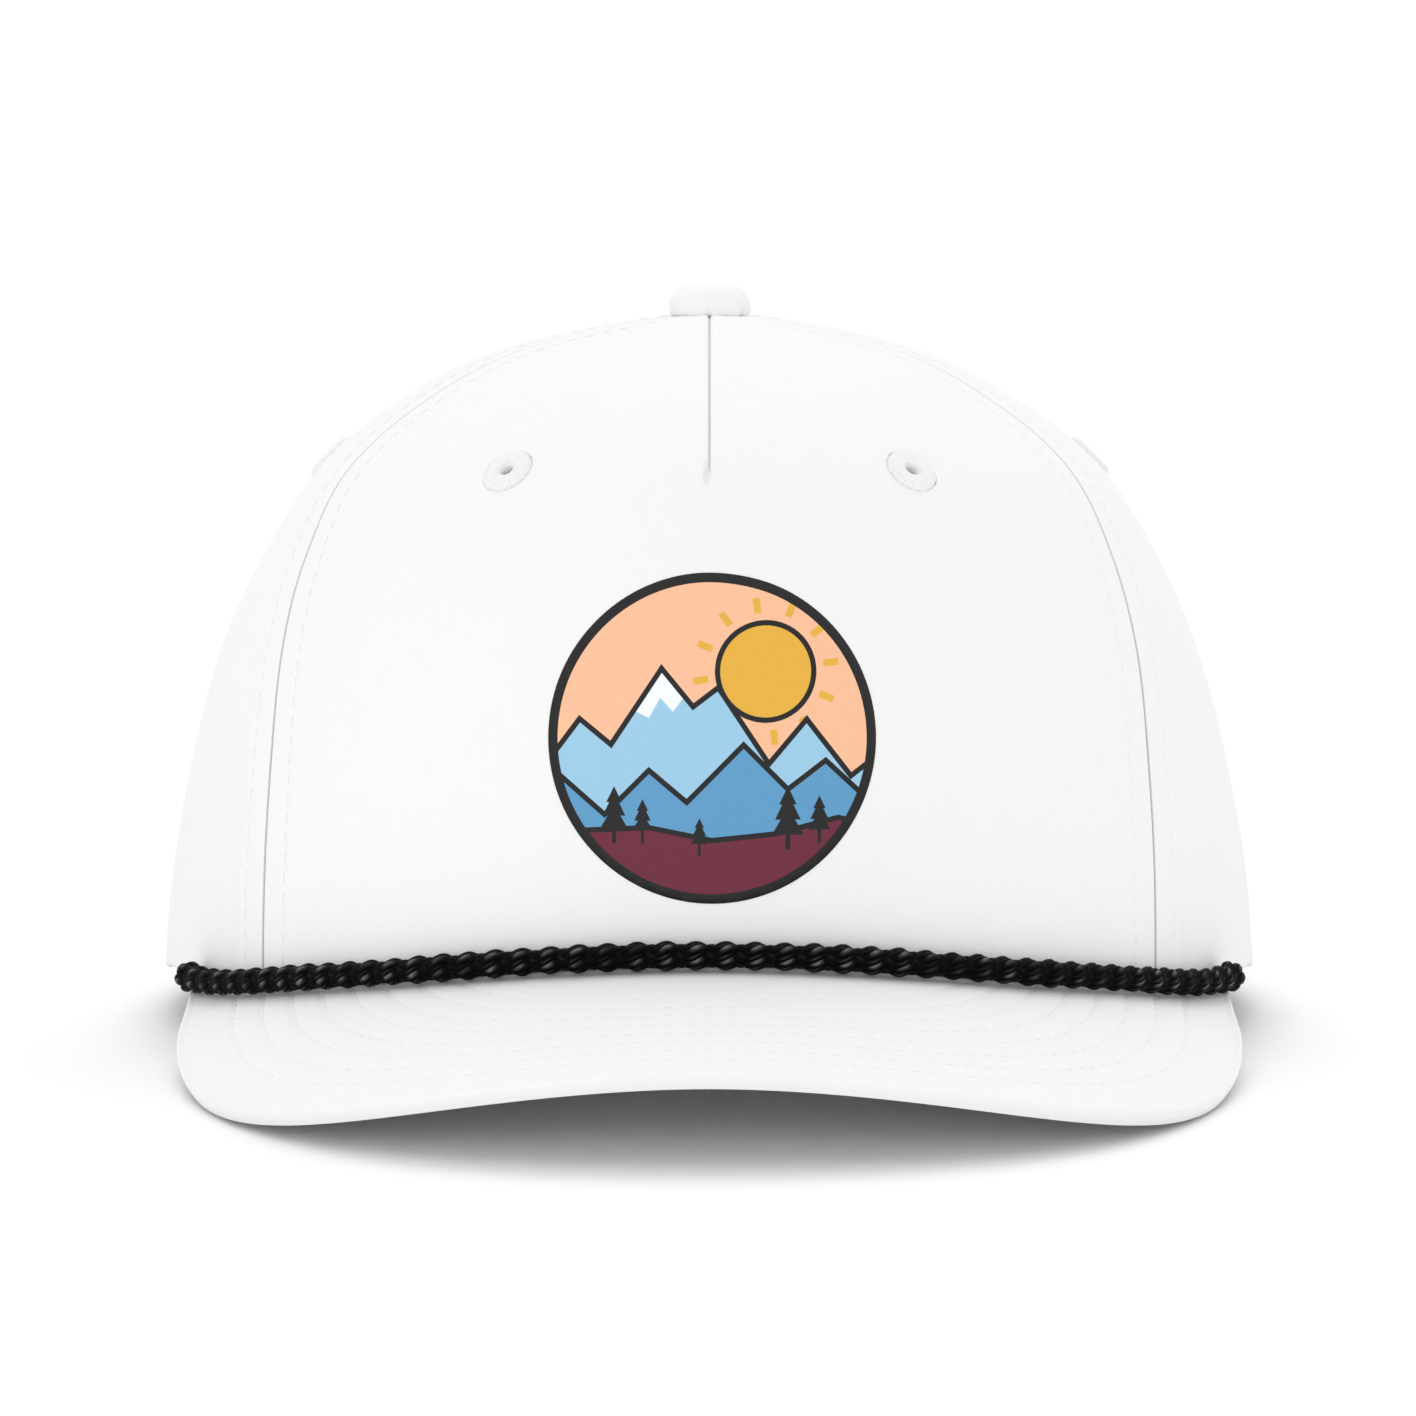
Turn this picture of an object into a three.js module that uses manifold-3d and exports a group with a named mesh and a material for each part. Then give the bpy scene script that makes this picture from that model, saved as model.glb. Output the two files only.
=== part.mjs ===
// A five-panel rope cap: a wide front panel, two side panels and two back panels of stiff cloth,
// a curved peak, a rope along the joint of the two, a covered button, six sewn eyelets,
// a sweatband and a snap strap across the back opening.
//
// Millimetres, +Z up. The cap is drawn level, with the front towards -Y, the wearer's left
// towards +X and height 0 at the rim beside the temples. At the end it is tipped back
// until the peak's two corners and the back of the rim stand on the surface z = 0.

import * as THREE from "three";
import { mergeVertices } from "three/addons/utils/BufferGeometryUtils.js";
import Module from "manifold-3d";

const { Manifold, Mesh } = await startManifold();

// Clearance between pieces that touch
const GAP = 0.3;

// The crown's level sections, rim to top: half width to each side, reach to the front and rear,
// and the angle from the centre front to the seam beside the front panel
const SECTIONS = [
  { height: 0, side: 90, front: 98, rear: 98, seam: 53 },
  { height: 18, side: 88.7, front: 98, rear: 98.5, seam: 54 },
  { height: 36, side: 85.5, front: 96.5, rear: 96, seam: 56 },
  { height: 54, side: 80.4, front: 92.5, rear: 90.5, seam: 59.5 },
  { height: 70, side: 73.1, front: 86, rear: 82, seam: 63.5 },
  { height: 84, side: 64, front: 76, rear: 70, seam: 66 },
  { height: 95, side: 50, front: 62, rear: 54.5, seam: 66 },
  { height: 102.5, side: 34.9, front: 44, rear: 38, seam: 64 },
  { height: 106.9, side: 14.5, front: 19, rear: 17, seam: 62 },
  { height: 108, side: 0, front: 0, rear: 0, seam: 62 },
];
const CROWN_TOP = SECTIONS.at(-1).height;
const WALL = 1.8;
const PANEL_ROWS = 18;

// The dart: a short seam that takes in the front panel from the button downwards
const DART_FOOT = 85.6;
const DART_DEPTH = 0.5;
const DART_HALF = 1.2;
const DART_WIDEST_ANGLE = 6;

// The peak: a sheet that falls forwards and bends down towards both sides, more so at its front
const PEAK_HEIGHT = 7;
const PEAK_FALL = 0.164;
const PEAK_BEND = 0.0043;
const PEAK_BEND_GROWTH = 1.44e-5;
const PEAK_BEND_FROM = -27;
const PEAK_HALF = 85.5;
const PEAK_WIDEST = -64;
const PEAK_FRONT = -167;
const PEAK_SQUARENESS = 2.4;
const PEAK_THICK = 2.5;
const PEAK_END_ANGLE = 68;
const PEAK_COLUMNS = 40;
const PEAK_ROWS = 7;
const PEAK_TUCK = 3.8;
// The share of each half of the outline that is the nearly straight stretch at the temple
const PEAK_STRAIGHT_SHARE = 0.14;

const ROPE_RADIUS = 2.4;
const ROPE_END_ANGLE = 65.5;

// The covered button and the rivet that holds it through the panels' tips
const BUTTON_RADIUS = 6.7;
const BUTTON_HEIGHT = 5.2;
const BUTTON_EDGE = 1.4;
const BUTTON_FLATNESS = 0.6;
const BUTTON_STEPS = 6;
const BUTTON_SIDES = 20;
const SHANK_RADIUS = 1.5;
const RIVET_RADIUS = 4;
const RIVET_THICK = 0.8;

// Sewn eyelets: one in each side and back panel, two in the front panel
const EYELET_RADIUS = 4.3;
const EYELET_BACK_RADIUS = 3.4;
const EYELET_HOLE = 1.2;
const EYELET_HEIGHT = 84.8;
const EYELET_FRONT_X = 32.5;
const EYELET_PROUD = 0.7;
const EYELET_CUT = 2.5;

// The sweatband steps inwards to pass the strap's ends, over these angles short of them
const SWEATBAND_HEIGHT = 32;
const SWEATBAND_THICK = 1.2;
const SWEATBAND_CLEAR = 0.5;
const BAND_STEP_FROM = 14;
const BAND_STEP_TO = 2;

// The opening at the back and the strap that closes it
const ARCH_HALF = 37;
const ARCH_SHOULDER = 20;
const ARCH_TOP = 50;
const STRAP_HEIGHT = 19;
const STRAP_THICK = 1.5;
const STRAP_TUCK = 13;

// How far the rim's back edge gives where it stands on the surface, and the angle past the
// peak's end over which the rim comes down from the peak to its level stretch
const RIM_GIVE = 1;
const RIM_BLEND_ANGLE = 25;

const CLOTH = new THREE.MeshStandardMaterial({ color: 0xf7f7f6, roughness: 0.92, metalness: 0 });
const THREAD = new THREE.MeshStandardMaterial({ color: 0xf2f2f1, roughness: 0.7, metalness: 0 });
const BAND = new THREE.MeshStandardMaterial({ color: 0xf4f4f2, roughness: 0.95, metalness: 0 });
const BRAID = new THREE.MeshStandardMaterial({ color: 0x141414, roughness: 0.6, metalness: 0 });
const SNAP_PLASTIC = new THREE.MeshStandardMaterial({ color: 0xf0f0ee, roughness: 0.45, metalness: 0 });

async function startManifold() {
  const library = await Module();
  library.setup();
  return library;
}

// One stretch of a smooth curve through b and c, with its neighbours a and d
function smoothBetween(a, b, c, d, share) {
  const linear = (c - a) * share;
  const square = (2 * a - 5 * b + 4 * c - d) * share ** 2;
  const cube = (3 * b - a - 3 * c + d) * share ** 3;
  return b + (linear + square + cube) / 2;
}

// The table's rows continued past both ends: straight on at the rim, mirrored over the top
function sectionRow(index) {
  const last = SECTIONS.length - 1;
  if (index < 0) {
    const [first, second] = SECTIONS;
    return {
      height: 2 * first.height - second.height,
      side: 2 * first.side - second.side,
      front: 2 * first.front - second.front,
      rear: 2 * first.rear - second.rear,
      seam: 2 * first.seam - second.seam,
    };
  }
  if (index > last) {
    const row = SECTIONS[2 * last - index];
    return { height: row.height, side: -row.side, front: -row.front, rear: -row.rear, seam: row.seam };
  }
  return SECTIONS[index];
}

// The section at any level: level counts the table's rows, with fractions between them
function section(level) {
  const index = Math.min(Math.floor(level), SECTIONS.length - 2);
  const rows = [-1, 0, 1, 2].map((step) => sectionRow(index + step));
  const value = (name) => smoothBetween(...rows.map((row) => row[name]), level - index);
  return {
    height: value("height"),
    side: value("side"),
    front: value("front"),
    rear: value("rear"),
    seam: value("seam"),
  };
}

// The level of a height, by halving; the height only grows with the level
function levelOf(height) {
  let low = 0;
  let high = SECTIONS.length - 1;
  for (let step = 0; step < 40; step += 1) {
    const middle = (low + high) / 2;
    if (section(middle).height < height) low = middle;
    else high = middle;
  }
  return low;
}

// A point on the crown's outside; angle 0 is the centre front and 90 the wearer's left
function crownPoint(angle, level) {
  const { height, side, front, rear } = section(level);
  const turn = THREE.MathUtils.degToRad(angle);
  const reach = Math.cos(turn) > 0 ? front : rear;
  return new THREE.Vector3(side * Math.sin(turn), -reach * Math.cos(turn), height);
}

function crownNormal(angle, level) {
  const step = 0.01;
  const across = crownPoint(angle + 1, level).sub(crownPoint(angle - 1, level));
  const up = crownPoint(angle, level + step).sub(crownPoint(angle, Math.max(level - step, 0)));
  return across.cross(up).normalize();
}

function underCrown(angle, level, depth) {
  return crownPoint(angle, level).addScaledVector(crownNormal(angle, level), -depth);
}

function peakTop(x, y) {
  const bend = PEAK_BEND + PEAK_BEND_GROWTH * (PEAK_BEND_FROM - y);
  return PEAK_HEIGHT + PEAK_FALL * (y + SECTIONS[0].front) - (bend * x * x) / 2;
}

// The peak's outline; share runs from -1 at the right temple to 1 at the left one
function peakOutline(share) {
  const sign = Math.sign(share);
  const rounded = 1 - PEAK_STRAIGHT_SHARE;
  const part = Math.min(Math.abs(share) / rounded, 1);
  const turn = (part * Math.PI) / 2;
  const power = 2 / PEAK_SQUARENESS;
  const x = PEAK_HALF * Math.sin(turn) ** power;
  const y = PEAK_WIDEST + (PEAK_FRONT - PEAK_WIDEST) * Math.max(Math.cos(turn), 0) ** power;
  const point = new THREE.Vector2(x, y);
  if (part === 1) {
    const temple = crownPoint(PEAK_END_ANGLE, 0);
    const back = new THREE.Vector2(temple.x + WALL / 2, temple.y);
    point.lerp(back, (Math.abs(share) - rounded) / PEAK_STRAIGHT_SHARE);
  }
  return new THREE.Vector2(sign * point.x, point.y);
}

// The tilt at rest: a line from the back of the rim that touches the peak's underside
function restTilt() {
  const rear = SECTIONS[0].rear;
  let tilt = 0;
  for (let share = 0; share <= 1; share += 0.005) {
    const { x, y } = peakOutline(share);
    const drop = RIM_GIVE - (peakTop(x, y) - PEAK_THICK);
    tilt = Math.max(tilt, Math.atan2(drop, rear - y));
  }
  return tilt;
}

const TILT = restTilt();

// The surface that the cap stands on, seen in the level cap
function standHeight(y) {
  return RIM_GIVE - Math.tan(TILT) * (SECTIONS[0].rear - y);
}

// The rim: on the peak's top in front, level at the sides, flattened where it stands at the back
function rimHeight(angle, point) {
  const fromFront = Math.abs(THREE.MathUtils.euclideanModulo(angle + 180, 360) - 180);
  const away = THREE.MathUtils.smoothstep(fromFront, PEAK_END_ANGLE, PEAK_END_ANGLE + RIM_BLEND_ANGLE);
  const onPeak = peakTop(point.x, point.y) + GAP;
  return Math.max(onPeak * (1 - away), standHeight(point.y));
}

// A closed solid between two grids of points, the first of which faces outwards:
// its columns run to the right and its rows upwards, as seen from outside
function slab(columns, rows, outside, inside) {
  const positions = [];
  const index = [];
  const across = columns + 1;
  const layer = across * (rows + 1);
  for (const side of [outside, inside]) {
    for (let row = 0; row <= rows; row += 1) {
      for (let column = 0; column <= columns; column += 1) {
        positions.push(...side(column, row).toArray());
      }
    }
  }
  const outer = (column, row) => row * across + column;
  const inner = (column, row) => layer + row * across + column;
  const quad = (a, b, c, d) => index.push(a, b, c, a, c, d);
  for (let row = 0; row < rows; row += 1) {
    for (let column = 0; column < columns; column += 1) {
      const next = column + 1;
      quad(outer(column, row), outer(next, row), outer(next, row + 1), outer(column, row + 1));
      quad(inner(column, row), inner(column, row + 1), inner(next, row + 1), inner(next, row));
    }
    quad(outer(0, row), outer(0, row + 1), inner(0, row + 1), inner(0, row));
    quad(inner(columns, row), inner(columns, row + 1), outer(columns, row + 1), outer(columns, row));
  }
  for (let column = 0; column < columns; column += 1) {
    const next = column + 1;
    quad(outer(column, 0), inner(column, 0), inner(next, 0), outer(next, 0));
    quad(outer(column, rows), outer(next, rows), inner(next, rows), inner(column, rows));
  }
  const geometry = new THREE.BufferGeometry();
  geometry.setAttribute("position", new THREE.Float32BufferAttribute(positions, 3));
  geometry.setIndex(index);
  return geometry;
}

// The same solid with shared vertices merged and no triangle of zero area
function merged(geometry) {
  geometry.deleteAttribute("normal");
  geometry.deleteAttribute("uv");
  const joined = mergeVertices(geometry, 1e-4);
  const old = joined.index.array;
  const kept = [];
  for (let i = 0; i < old.length; i += 3) {
    const [a, b, c] = old.slice(i, i + 3);
    if (a !== b && b !== c && c !== a) kept.push(a, b, c);
  }
  joined.setIndex(kept);
  return joined;
}

function toManifold(geometry) {
  const joined = merged(geometry);
  const vertProperties = new Float32Array(joined.attributes.position.array);
  const triVerts = new Uint32Array(joined.index.array);
  return new Manifold(new Mesh({ numProp: 3, vertProperties, triVerts }));
}

function cutAway(geometry, cutters) {
  let solid = toManifold(geometry);
  for (const cutter of cutters) solid = solid.subtract(toManifold(cutter));
  const { vertProperties, triVerts } = solid.getMesh();
  const result = new THREE.BufferGeometry();
  result.setAttribute("position", new THREE.BufferAttribute(vertProperties, 3));
  result.setIndex(new THREE.BufferAttribute(triVerts, 1));
  return result;
}

// Places of the eyelets: the panel, the angle and the level
const EYELET_LEVEL = levelOf(EYELET_HEIGHT);
const EYELETS = eyeletPlaces();

function eyeletPlaces() {
  const { side, seam } = section(EYELET_LEVEL);
  const front = THREE.MathUtils.radToDeg(Math.asin(EYELET_FRONT_X / side));
  const sideBack = sideSeam(seam);
  const angles = { front, side: (seam + sideBack) / 2, back: (sideBack + 180) / 2 };
  const places = [];
  for (const [where, angle] of Object.entries(angles)) {
    places.push({ name: `eyelet_${where}_left`, angle });
    places.push({ name: `eyelet_${where}_right`, angle: -angle });
  }
  return places;
}

// The seam between side and back panel lies half-way between the front seam and the back one
function sideSeam(frontSeam) {
  return (frontSeam + 180) / 2;
}

// Puts a geometry made along +Z on the crown at an eyelet, pointing straight out of the cloth
function standOnCrown(object, angle) {
  const outwards = crownNormal(angle, EYELET_LEVEL);
  const turn = new THREE.Quaternion().setFromUnitVectors(new THREE.Vector3(0, 0, 1), outwards);
  object.applyQuaternion(turn);
  const { x, y, z } = crownPoint(angle, EYELET_LEVEL);
  if (object.isObject3D) object.position.set(x, y, z);
  else object.translate(x, y, z);
  return object;
}

function eyeletCutter(angle) {
  const cutter = new THREE.CylinderGeometry(EYELET_CUT, EYELET_CUT, WALL * 5, 12);
  return standOnCrown(cutter.rotateX(Math.PI / 2), angle);
}

// The level at which the panels' tips stop, just clear of the button's shank
function tipLevel() {
  const radius = SHANK_RADIUS + GAP;
  let level = SECTIONS.length - 1;
  while (section(level).side < radius) level -= 0.005;
  return level;
}

const TIP_LEVEL = tipLevel();

function dartDepth(point) {
  const from = Math.max(1 - Math.abs(point.x) / DART_HALF, 0);
  return point.z > DART_FOOT ? DART_DEPTH * from : 0;
}

// Angles across a panel, evenly spaced and, where a dart runs, close together beside it
function panelColumns(count, withDart) {
  const shares = Array.from({ length: count + 1 }, (_, i) => i / count);
  if (!withDart) return shares.map((share) => ({ share, beside: 0 }));
  const even = shares.filter((share) => share !== 0.5).map((share) => ({ share, beside: 0 }));
  const dart = [-1, 0, 1].map((beside) => ({ share: 0.5, beside }));
  return [...even.slice(0, count / 2), ...dart, ...even.slice(count / 2)];
}

// One cloth panel between two seams, given as functions of the front seam's angle
function panel(count, fromSeam, toSeam, withDart = false) {
  const columns = panelColumns(count, withDart);
  const foot = SECTIONS[0].seam;
  const place = (column, row, depth) => {
    const { share, beside } = columns[column];
    const footAngle = THREE.MathUtils.lerp(fromSeam(foot), toSeam(foot), share);
    const rimLevel = rimHeight(footAngle, crownPoint(footAngle, 0)) / SECTIONS[1].height;
    const level = THREE.MathUtils.lerp(rimLevel, TIP_LEVEL, row / PANEL_ROWS);
    const { seam, side } = section(level);
    const clear = THREE.MathUtils.radToDeg(GAP / 2 / side);
    const start = fromSeam(seam) + clear;
    const end = toSeam(seam) - clear;
    const aside = beside * Math.min(THREE.MathUtils.radToDeg(DART_HALF / side), DART_WIDEST_ANGLE);
    const angle = THREE.MathUtils.lerp(start, end, share) + aside;
    const point = crownPoint(angle, level);
    const dart = withDart && depth === 0 ? dartDepth(point) : 0;
    point.addScaledVector(crownNormal(angle, level), -depth - dart);
    if (row === 0) point.z = rimHeight(angle, point);
    return point;
  };
  return slab(
    columns.length - 1,
    PANEL_ROWS,
    (column, row) => place(column, row, 0),
    (column, row) => place(column, row, WALL),
  );
}

// The back opening as a solid that runs from front to back through the rear wall
function archCutter() {
  const shape = new THREE.Shape();
  shape.moveTo(ARCH_HALF, -ARCH_SHOULDER);
  shape.lineTo(ARCH_HALF, ARCH_SHOULDER);
  shape.absellipse(0, ARCH_SHOULDER, ARCH_HALF, ARCH_TOP - ARCH_SHOULDER, 0, Math.PI, false);
  shape.lineTo(-ARCH_HALF, -ARCH_SHOULDER);
  shape.closePath();
  const reach = SECTIONS[0].rear;
  const prism = new THREE.ExtrudeGeometry(shape, { depth: reach, bevelEnabled: false, curveSegments: 24 });
  return prism.rotateX(Math.PI / 2).translate(0, reach * 1.5, 0);
}

function frontPanel() {
  const cutters = EYELETS.slice(0, 2).map(({ angle }) => eyeletCutter(angle));
  return cutAway(panel(22, (seam) => -seam, (seam) => seam, true), cutters);
}

// sign is 1 for the wearer's left panel and -1 for the right one
function sidePanel(sign) {
  const { angle } = EYELETS[sign > 0 ? 2 : 3];
  const edges = [(seam) => seam * sign, (seam) => sideSeam(seam) * sign];
  if (sign < 0) edges.reverse();
  return cutAway(panel(12, ...edges), [eyeletCutter(angle)]);
}

function backPanel(sign) {
  const { angle } = EYELETS[sign > 0 ? 4 : 5];
  const edges = [(seam) => sideSeam(seam) * sign, () => 180 * sign];
  if (sign < 0) edges.reverse();
  return cutAway(panel(13, ...edges), [eyeletCutter(angle), archCutter()]);
}

function peak() {
  const place = (column, row, depth) => {
    const share = (2 * column) / PEAK_COLUMNS - 1;
    const inner = underCrown(share * PEAK_END_ANGLE, 0, PEAK_TUCK);
    const flat = new THREE.Vector2(inner.x, inner.y).lerp(peakOutline(share), row / PEAK_ROWS);
    return new THREE.Vector3(flat.x, flat.y, peakTop(flat.x, flat.y) - depth);
  };
  return slab(
    PEAK_COLUMNS,
    PEAK_ROWS,
    (column, row) => place(column, row, PEAK_THICK),
    (column, row) => place(column, row, 0),
  );
}

// The rope's middle line: against the crown's wall and on the peak's top
class RopePath extends THREE.Curve {
  getPoint(share, target = new THREE.Vector3()) {
    const angle = (2 * share - 1) * ROPE_END_ANGLE;
    const reach = ROPE_RADIUS + GAP;
    const foot = crownPoint(angle, 0);
    const level = (peakTop(foot.x, foot.y) + reach) / SECTIONS[1].height;
    const middle = underCrown(angle, level, -reach);
    const step = 0.5;
    const slopeX = (peakTop(middle.x + step, middle.y) - peakTop(middle.x - step, middle.y)) / (2 * step);
    const steepness = Math.hypot(1, slopeX, PEAK_FALL);
    return target.set(middle.x, middle.y, peakTop(middle.x, middle.y) + reach * steepness);
  }
}

function rope() {
  const circle = new THREE.Shape();
  circle.absarc(0, 0, ROPE_RADIUS, 0, 2 * Math.PI, false);
  return new THREE.ExtrudeGeometry(circle, {
    steps: 50,
    extrudePath: new RopePath(),
    curveSegments: 5,
    bevelEnabled: false,
  });
}

// A solid turned about +Z from a list of points, each a radius and a height
function turned(profile, segments) {
  const points = profile.map(([radius, height]) => new THREE.Vector2(radius, height));
  return new THREE.LatheGeometry(points, segments).rotateX(Math.PI / 2);
}

function button() {
  const under = CROWN_TOP + GAP;
  const inside = CROWN_TOP - WALL - GAP;
  const cap = [];
  for (let i = 0; i <= BUTTON_STEPS; i += 1) {
    const turn = (i / BUTTON_STEPS) * (Math.PI / 2);
    const radius = i === BUTTON_STEPS ? 0 : BUTTON_RADIUS * Math.cos(turn) ** BUTTON_FLATNESS;
    cap.push([radius, under + BUTTON_EDGE + (BUTTON_HEIGHT - BUTTON_EDGE) * Math.sin(turn)]);
  }
  return turned([
    [0, inside - RIVET_THICK],
    [RIVET_RADIUS, inside - RIVET_THICK],
    [RIVET_RADIUS, inside - GAP],
    [SHANK_RADIUS, inside],
    [SHANK_RADIUS, under],
    [BUTTON_RADIUS - BUTTON_EDGE / 2, under],
    ...cap,
  ], BUTTON_SIDES);
}

function eyelet() {
  // The cloth bends away inside the crown, so the inner flange sits lower by a gap
  const inside = -WALL - 2 * GAP;
  return turned([
    [EYELET_HOLE, inside - 0.5],
    [EYELET_BACK_RADIUS, inside - 0.5],
    [EYELET_BACK_RADIUS, inside - 0.1],
    [EYELET_CUT - GAP, inside],
    [EYELET_CUT - GAP, GAP],
    [EYELET_RADIUS, GAP - 0.05],
    [EYELET_RADIUS - 0.4, EYELET_PROUD],
    [EYELET_HOLE + 0.5, EYELET_PROUD + 0.1],
    [EYELET_HOLE, GAP],
    [EYELET_HOLE, inside - 0.5],
  ], 12);
}

// Where the sweatband ends, beside the opening, and where the strap's ends lie under it
const BAND_END_ANGLE = 180 - angleOfHalfWidth(ARCH_HALF + 1);
const STRAP_END = angleOfHalfWidth(ARCH_HALF + STRAP_TUCK);

function angleOfHalfWidth(x) {
  return THREE.MathUtils.radToDeg(Math.asin(x / SECTIONS[0].side));
}

function sweatband() {
  const columns = 56;
  const rows = 2;
  const over = STRAP_THICK + GAP;
  const strapFrom = 180 - STRAP_END;
  const stepFrom = strapFrom - BAND_STEP_FROM;
  const stepTo = strapFrom - BAND_STEP_TO;
  const place = (column, row, depth) => {
    const angle = ((2 * column) / columns - 1) * BAND_END_ANGLE;
    const onStrap = THREE.MathUtils.smoothstep(Math.abs(angle), stepFrom, stepTo);
    const inwards = WALL + SWEATBAND_CLEAR + over * onStrap + depth;
    const height = (SWEATBAND_HEIGHT * row) / rows;
    const rim = rimHeight(angle, underCrown(angle, 0, inwards));
    const point = underCrown(angle, levelOf(rim + height), inwards);
    point.z = rimHeight(angle, point) + height;
    return point;
  };
  return slab(
    columns,
    rows,
    (column, row) => place(column, row, 0),
    (column, row) => place(column, row, SWEATBAND_THICK),
  );
}

function strap() {
  const columns = 24;
  const place = (column, row, depth) => {
    const angle = 180 + ((2 * column) / columns - 1) * STRAP_END;
    const point = underCrown(angle, levelOf(row * STRAP_HEIGHT), WALL + GAP + depth);
    point.z = standHeight(point.y) + row * STRAP_HEIGHT;
    return point;
  };
  return slab(
    columns,
    1,
    (column, row) => place(column, row, 0),
    (column, row) => place(column, row, STRAP_THICK),
  );
}

function piece(name, geometry, material) {
  const solid = merged(geometry);
  solid.computeVertexNormals();
  const mesh = new THREE.Mesh(solid, material);
  mesh.name = name;
  return mesh;
}

function eyeletPiece({ name, angle }) {
  return standOnCrown(piece(name, eyelet(), THREAD), angle);
}

// The whole cap, drawn level
const levelCap = new THREE.Group();
levelCap.add(
  piece("front_panel", frontPanel(), CLOTH),
  piece("side_panel_left", sidePanel(1), CLOTH),
  piece("side_panel_right", sidePanel(-1), CLOTH),
  piece("back_panel_left", backPanel(1), CLOTH),
  piece("back_panel_right", backPanel(-1), CLOTH),
  piece("peak", peak(), CLOTH),
  piece("rope", rope(), BRAID),
  piece("button", button(), CLOTH),
  ...EYELETS.map(eyeletPiece),
  piece("sweatband", sweatband(), BAND),
  piece("back_strap", strap(), SNAP_PLASTIC),
);

// Tipped back to rest, with the origin under the middle of its box
levelCap.rotation.x = -TILT;
levelCap.position.z = SECTIONS[0].rear * Math.sin(TILT) - RIM_GIVE * Math.cos(TILT);
const cap = new THREE.Group();
cap.add(levelCap);
const box = new THREE.Box3().setFromObject(cap, true);
levelCap.position.y = -box.getCenter(new THREE.Vector3()).y;

export default cap;
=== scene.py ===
"""The looks of a white five-panel rope cap, laid out as a Blender add-on and run as a script.

Every piece is drawn in millimetres on the level cap: the front towards -Y, the wearer's left
towards +X and height 0 at the rim beside the temples. to_rest() tips it back, as it stands on
the floor, and turns it to metres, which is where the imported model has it.
"""

import math

import bmesh
import bpy
import numpy as np
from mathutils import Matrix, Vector
from mathutils.geometry import delaunay_2d_cdt


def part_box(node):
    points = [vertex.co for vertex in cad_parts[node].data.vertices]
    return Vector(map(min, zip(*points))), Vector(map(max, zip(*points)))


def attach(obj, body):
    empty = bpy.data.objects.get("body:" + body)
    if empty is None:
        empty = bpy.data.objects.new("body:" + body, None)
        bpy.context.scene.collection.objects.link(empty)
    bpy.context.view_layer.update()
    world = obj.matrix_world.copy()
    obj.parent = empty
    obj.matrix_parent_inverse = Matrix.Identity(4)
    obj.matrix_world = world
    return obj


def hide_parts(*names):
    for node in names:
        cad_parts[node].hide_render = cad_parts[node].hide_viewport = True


bl_info = {
    "name": "Five-panel rope cap",
    "version": (1, 0, 0),
    "blender": (4, 5, 0),
    "location": "3D View > Sidebar > Rope Cap",
    "description": "Cloth, braid, stitching, print and snap strap of a five-panel rope cap",
    "category": "Add Mesh",
}

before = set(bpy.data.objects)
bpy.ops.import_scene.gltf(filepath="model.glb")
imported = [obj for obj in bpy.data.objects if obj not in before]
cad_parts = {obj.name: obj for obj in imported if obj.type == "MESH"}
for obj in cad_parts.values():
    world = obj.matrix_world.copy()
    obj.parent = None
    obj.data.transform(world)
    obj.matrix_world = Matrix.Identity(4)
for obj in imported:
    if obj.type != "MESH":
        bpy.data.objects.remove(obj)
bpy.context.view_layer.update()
MM = 0.001

# The crown's level sections, rim to top: height, half width, reach to the front, reach to the
# rear, and the angle from the centre front to the seam beside the front panel
SECTIONS = np.array([
    (0, 90, 98, 98, 53),
    (18, 88.7, 98, 98.5, 54),
    (36, 85.5, 96.5, 96, 56),
    (54, 80.4, 92.5, 90.5, 59.5),
    (70, 73.1, 86, 82, 63.5),
    (84, 64, 76, 70, 66),
    (95, 50, 62, 54.5, 66),
    (102.5, 34.9, 44, 38, 64),
    (106.9, 14.5, 19, 17, 62),
    (108, 0, 0, 0, 62),
])
MIRRORED_OVER_TOP = np.array((1, -1, -1, -1, 1))
GHOST_ROWS = np.vstack([
    2 * SECTIONS[0] - SECTIONS[1],
    SECTIONS,
    SECTIONS[-2] * MIRRORED_OVER_TOP,
])
RIM_SIDE, RIM_FRONT, RIM_REAR, RIM_SEAM = SECTIONS[0, 1:]
FIRST_STEP = SECTIONS[1, 0]
CROWN_TOP = SECTIONS[-1, 0]
CLEAR = 0.3

# The peak: a sheet that falls forwards and bends down towards both sides
PEAK_HEIGHT = 7
PEAK_FALL = 0.164
PEAK_BEND = 0.0043
PEAK_BEND_GROWTH = 1.44e-5
PEAK_BEND_FROM = -27
PEAK_HALF = 85.5
PEAK_WIDEST = -64
PEAK_FRONT = -167
PEAK_SQUARENESS = 2.4
PEAK_THICK = 2.5
PEAK_END_ANGLE = 68
PEAK_TUCK = 3.8
PEAK_STRAIGHT_SHARE = 0.14
TEMPLE_DROP = 1.6

# The rows of stitching on the peak: how far in the outermost lies and how far apart they are,
# at the front and at the sides
PEAK_ROW_COUNT = 8
PEAK_FIRST_FRONT = 10.5
PEAK_FIRST_SIDE = 9.1
PEAK_STEP_FRONT = 5.6
PEAK_STEP_SIDE = 4.75

ROPE_END_ANGLE = 67.3
SHANK_RADIUS = 1.5
RIVET_RADIUS = 4
RIVET_THICK = 0.8

DART_FOOT = 85.6
EYELET_HEIGHT = 84.8
EYELET_FRONT_X = 32.5

SWEATBAND_HEIGHT = 32
SWEATBAND_CLEAR = 0.5
BAND_STEP_FROM = 14
BAND_STEP_TO = 2

ARCH_HALF = 37
ARCH_SHOULDER = 20
ARCH_TOP = 50
STRAP_HEIGHT = 19
STRAP_THICK = 1.5
STRAP_TUCK = 13

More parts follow.
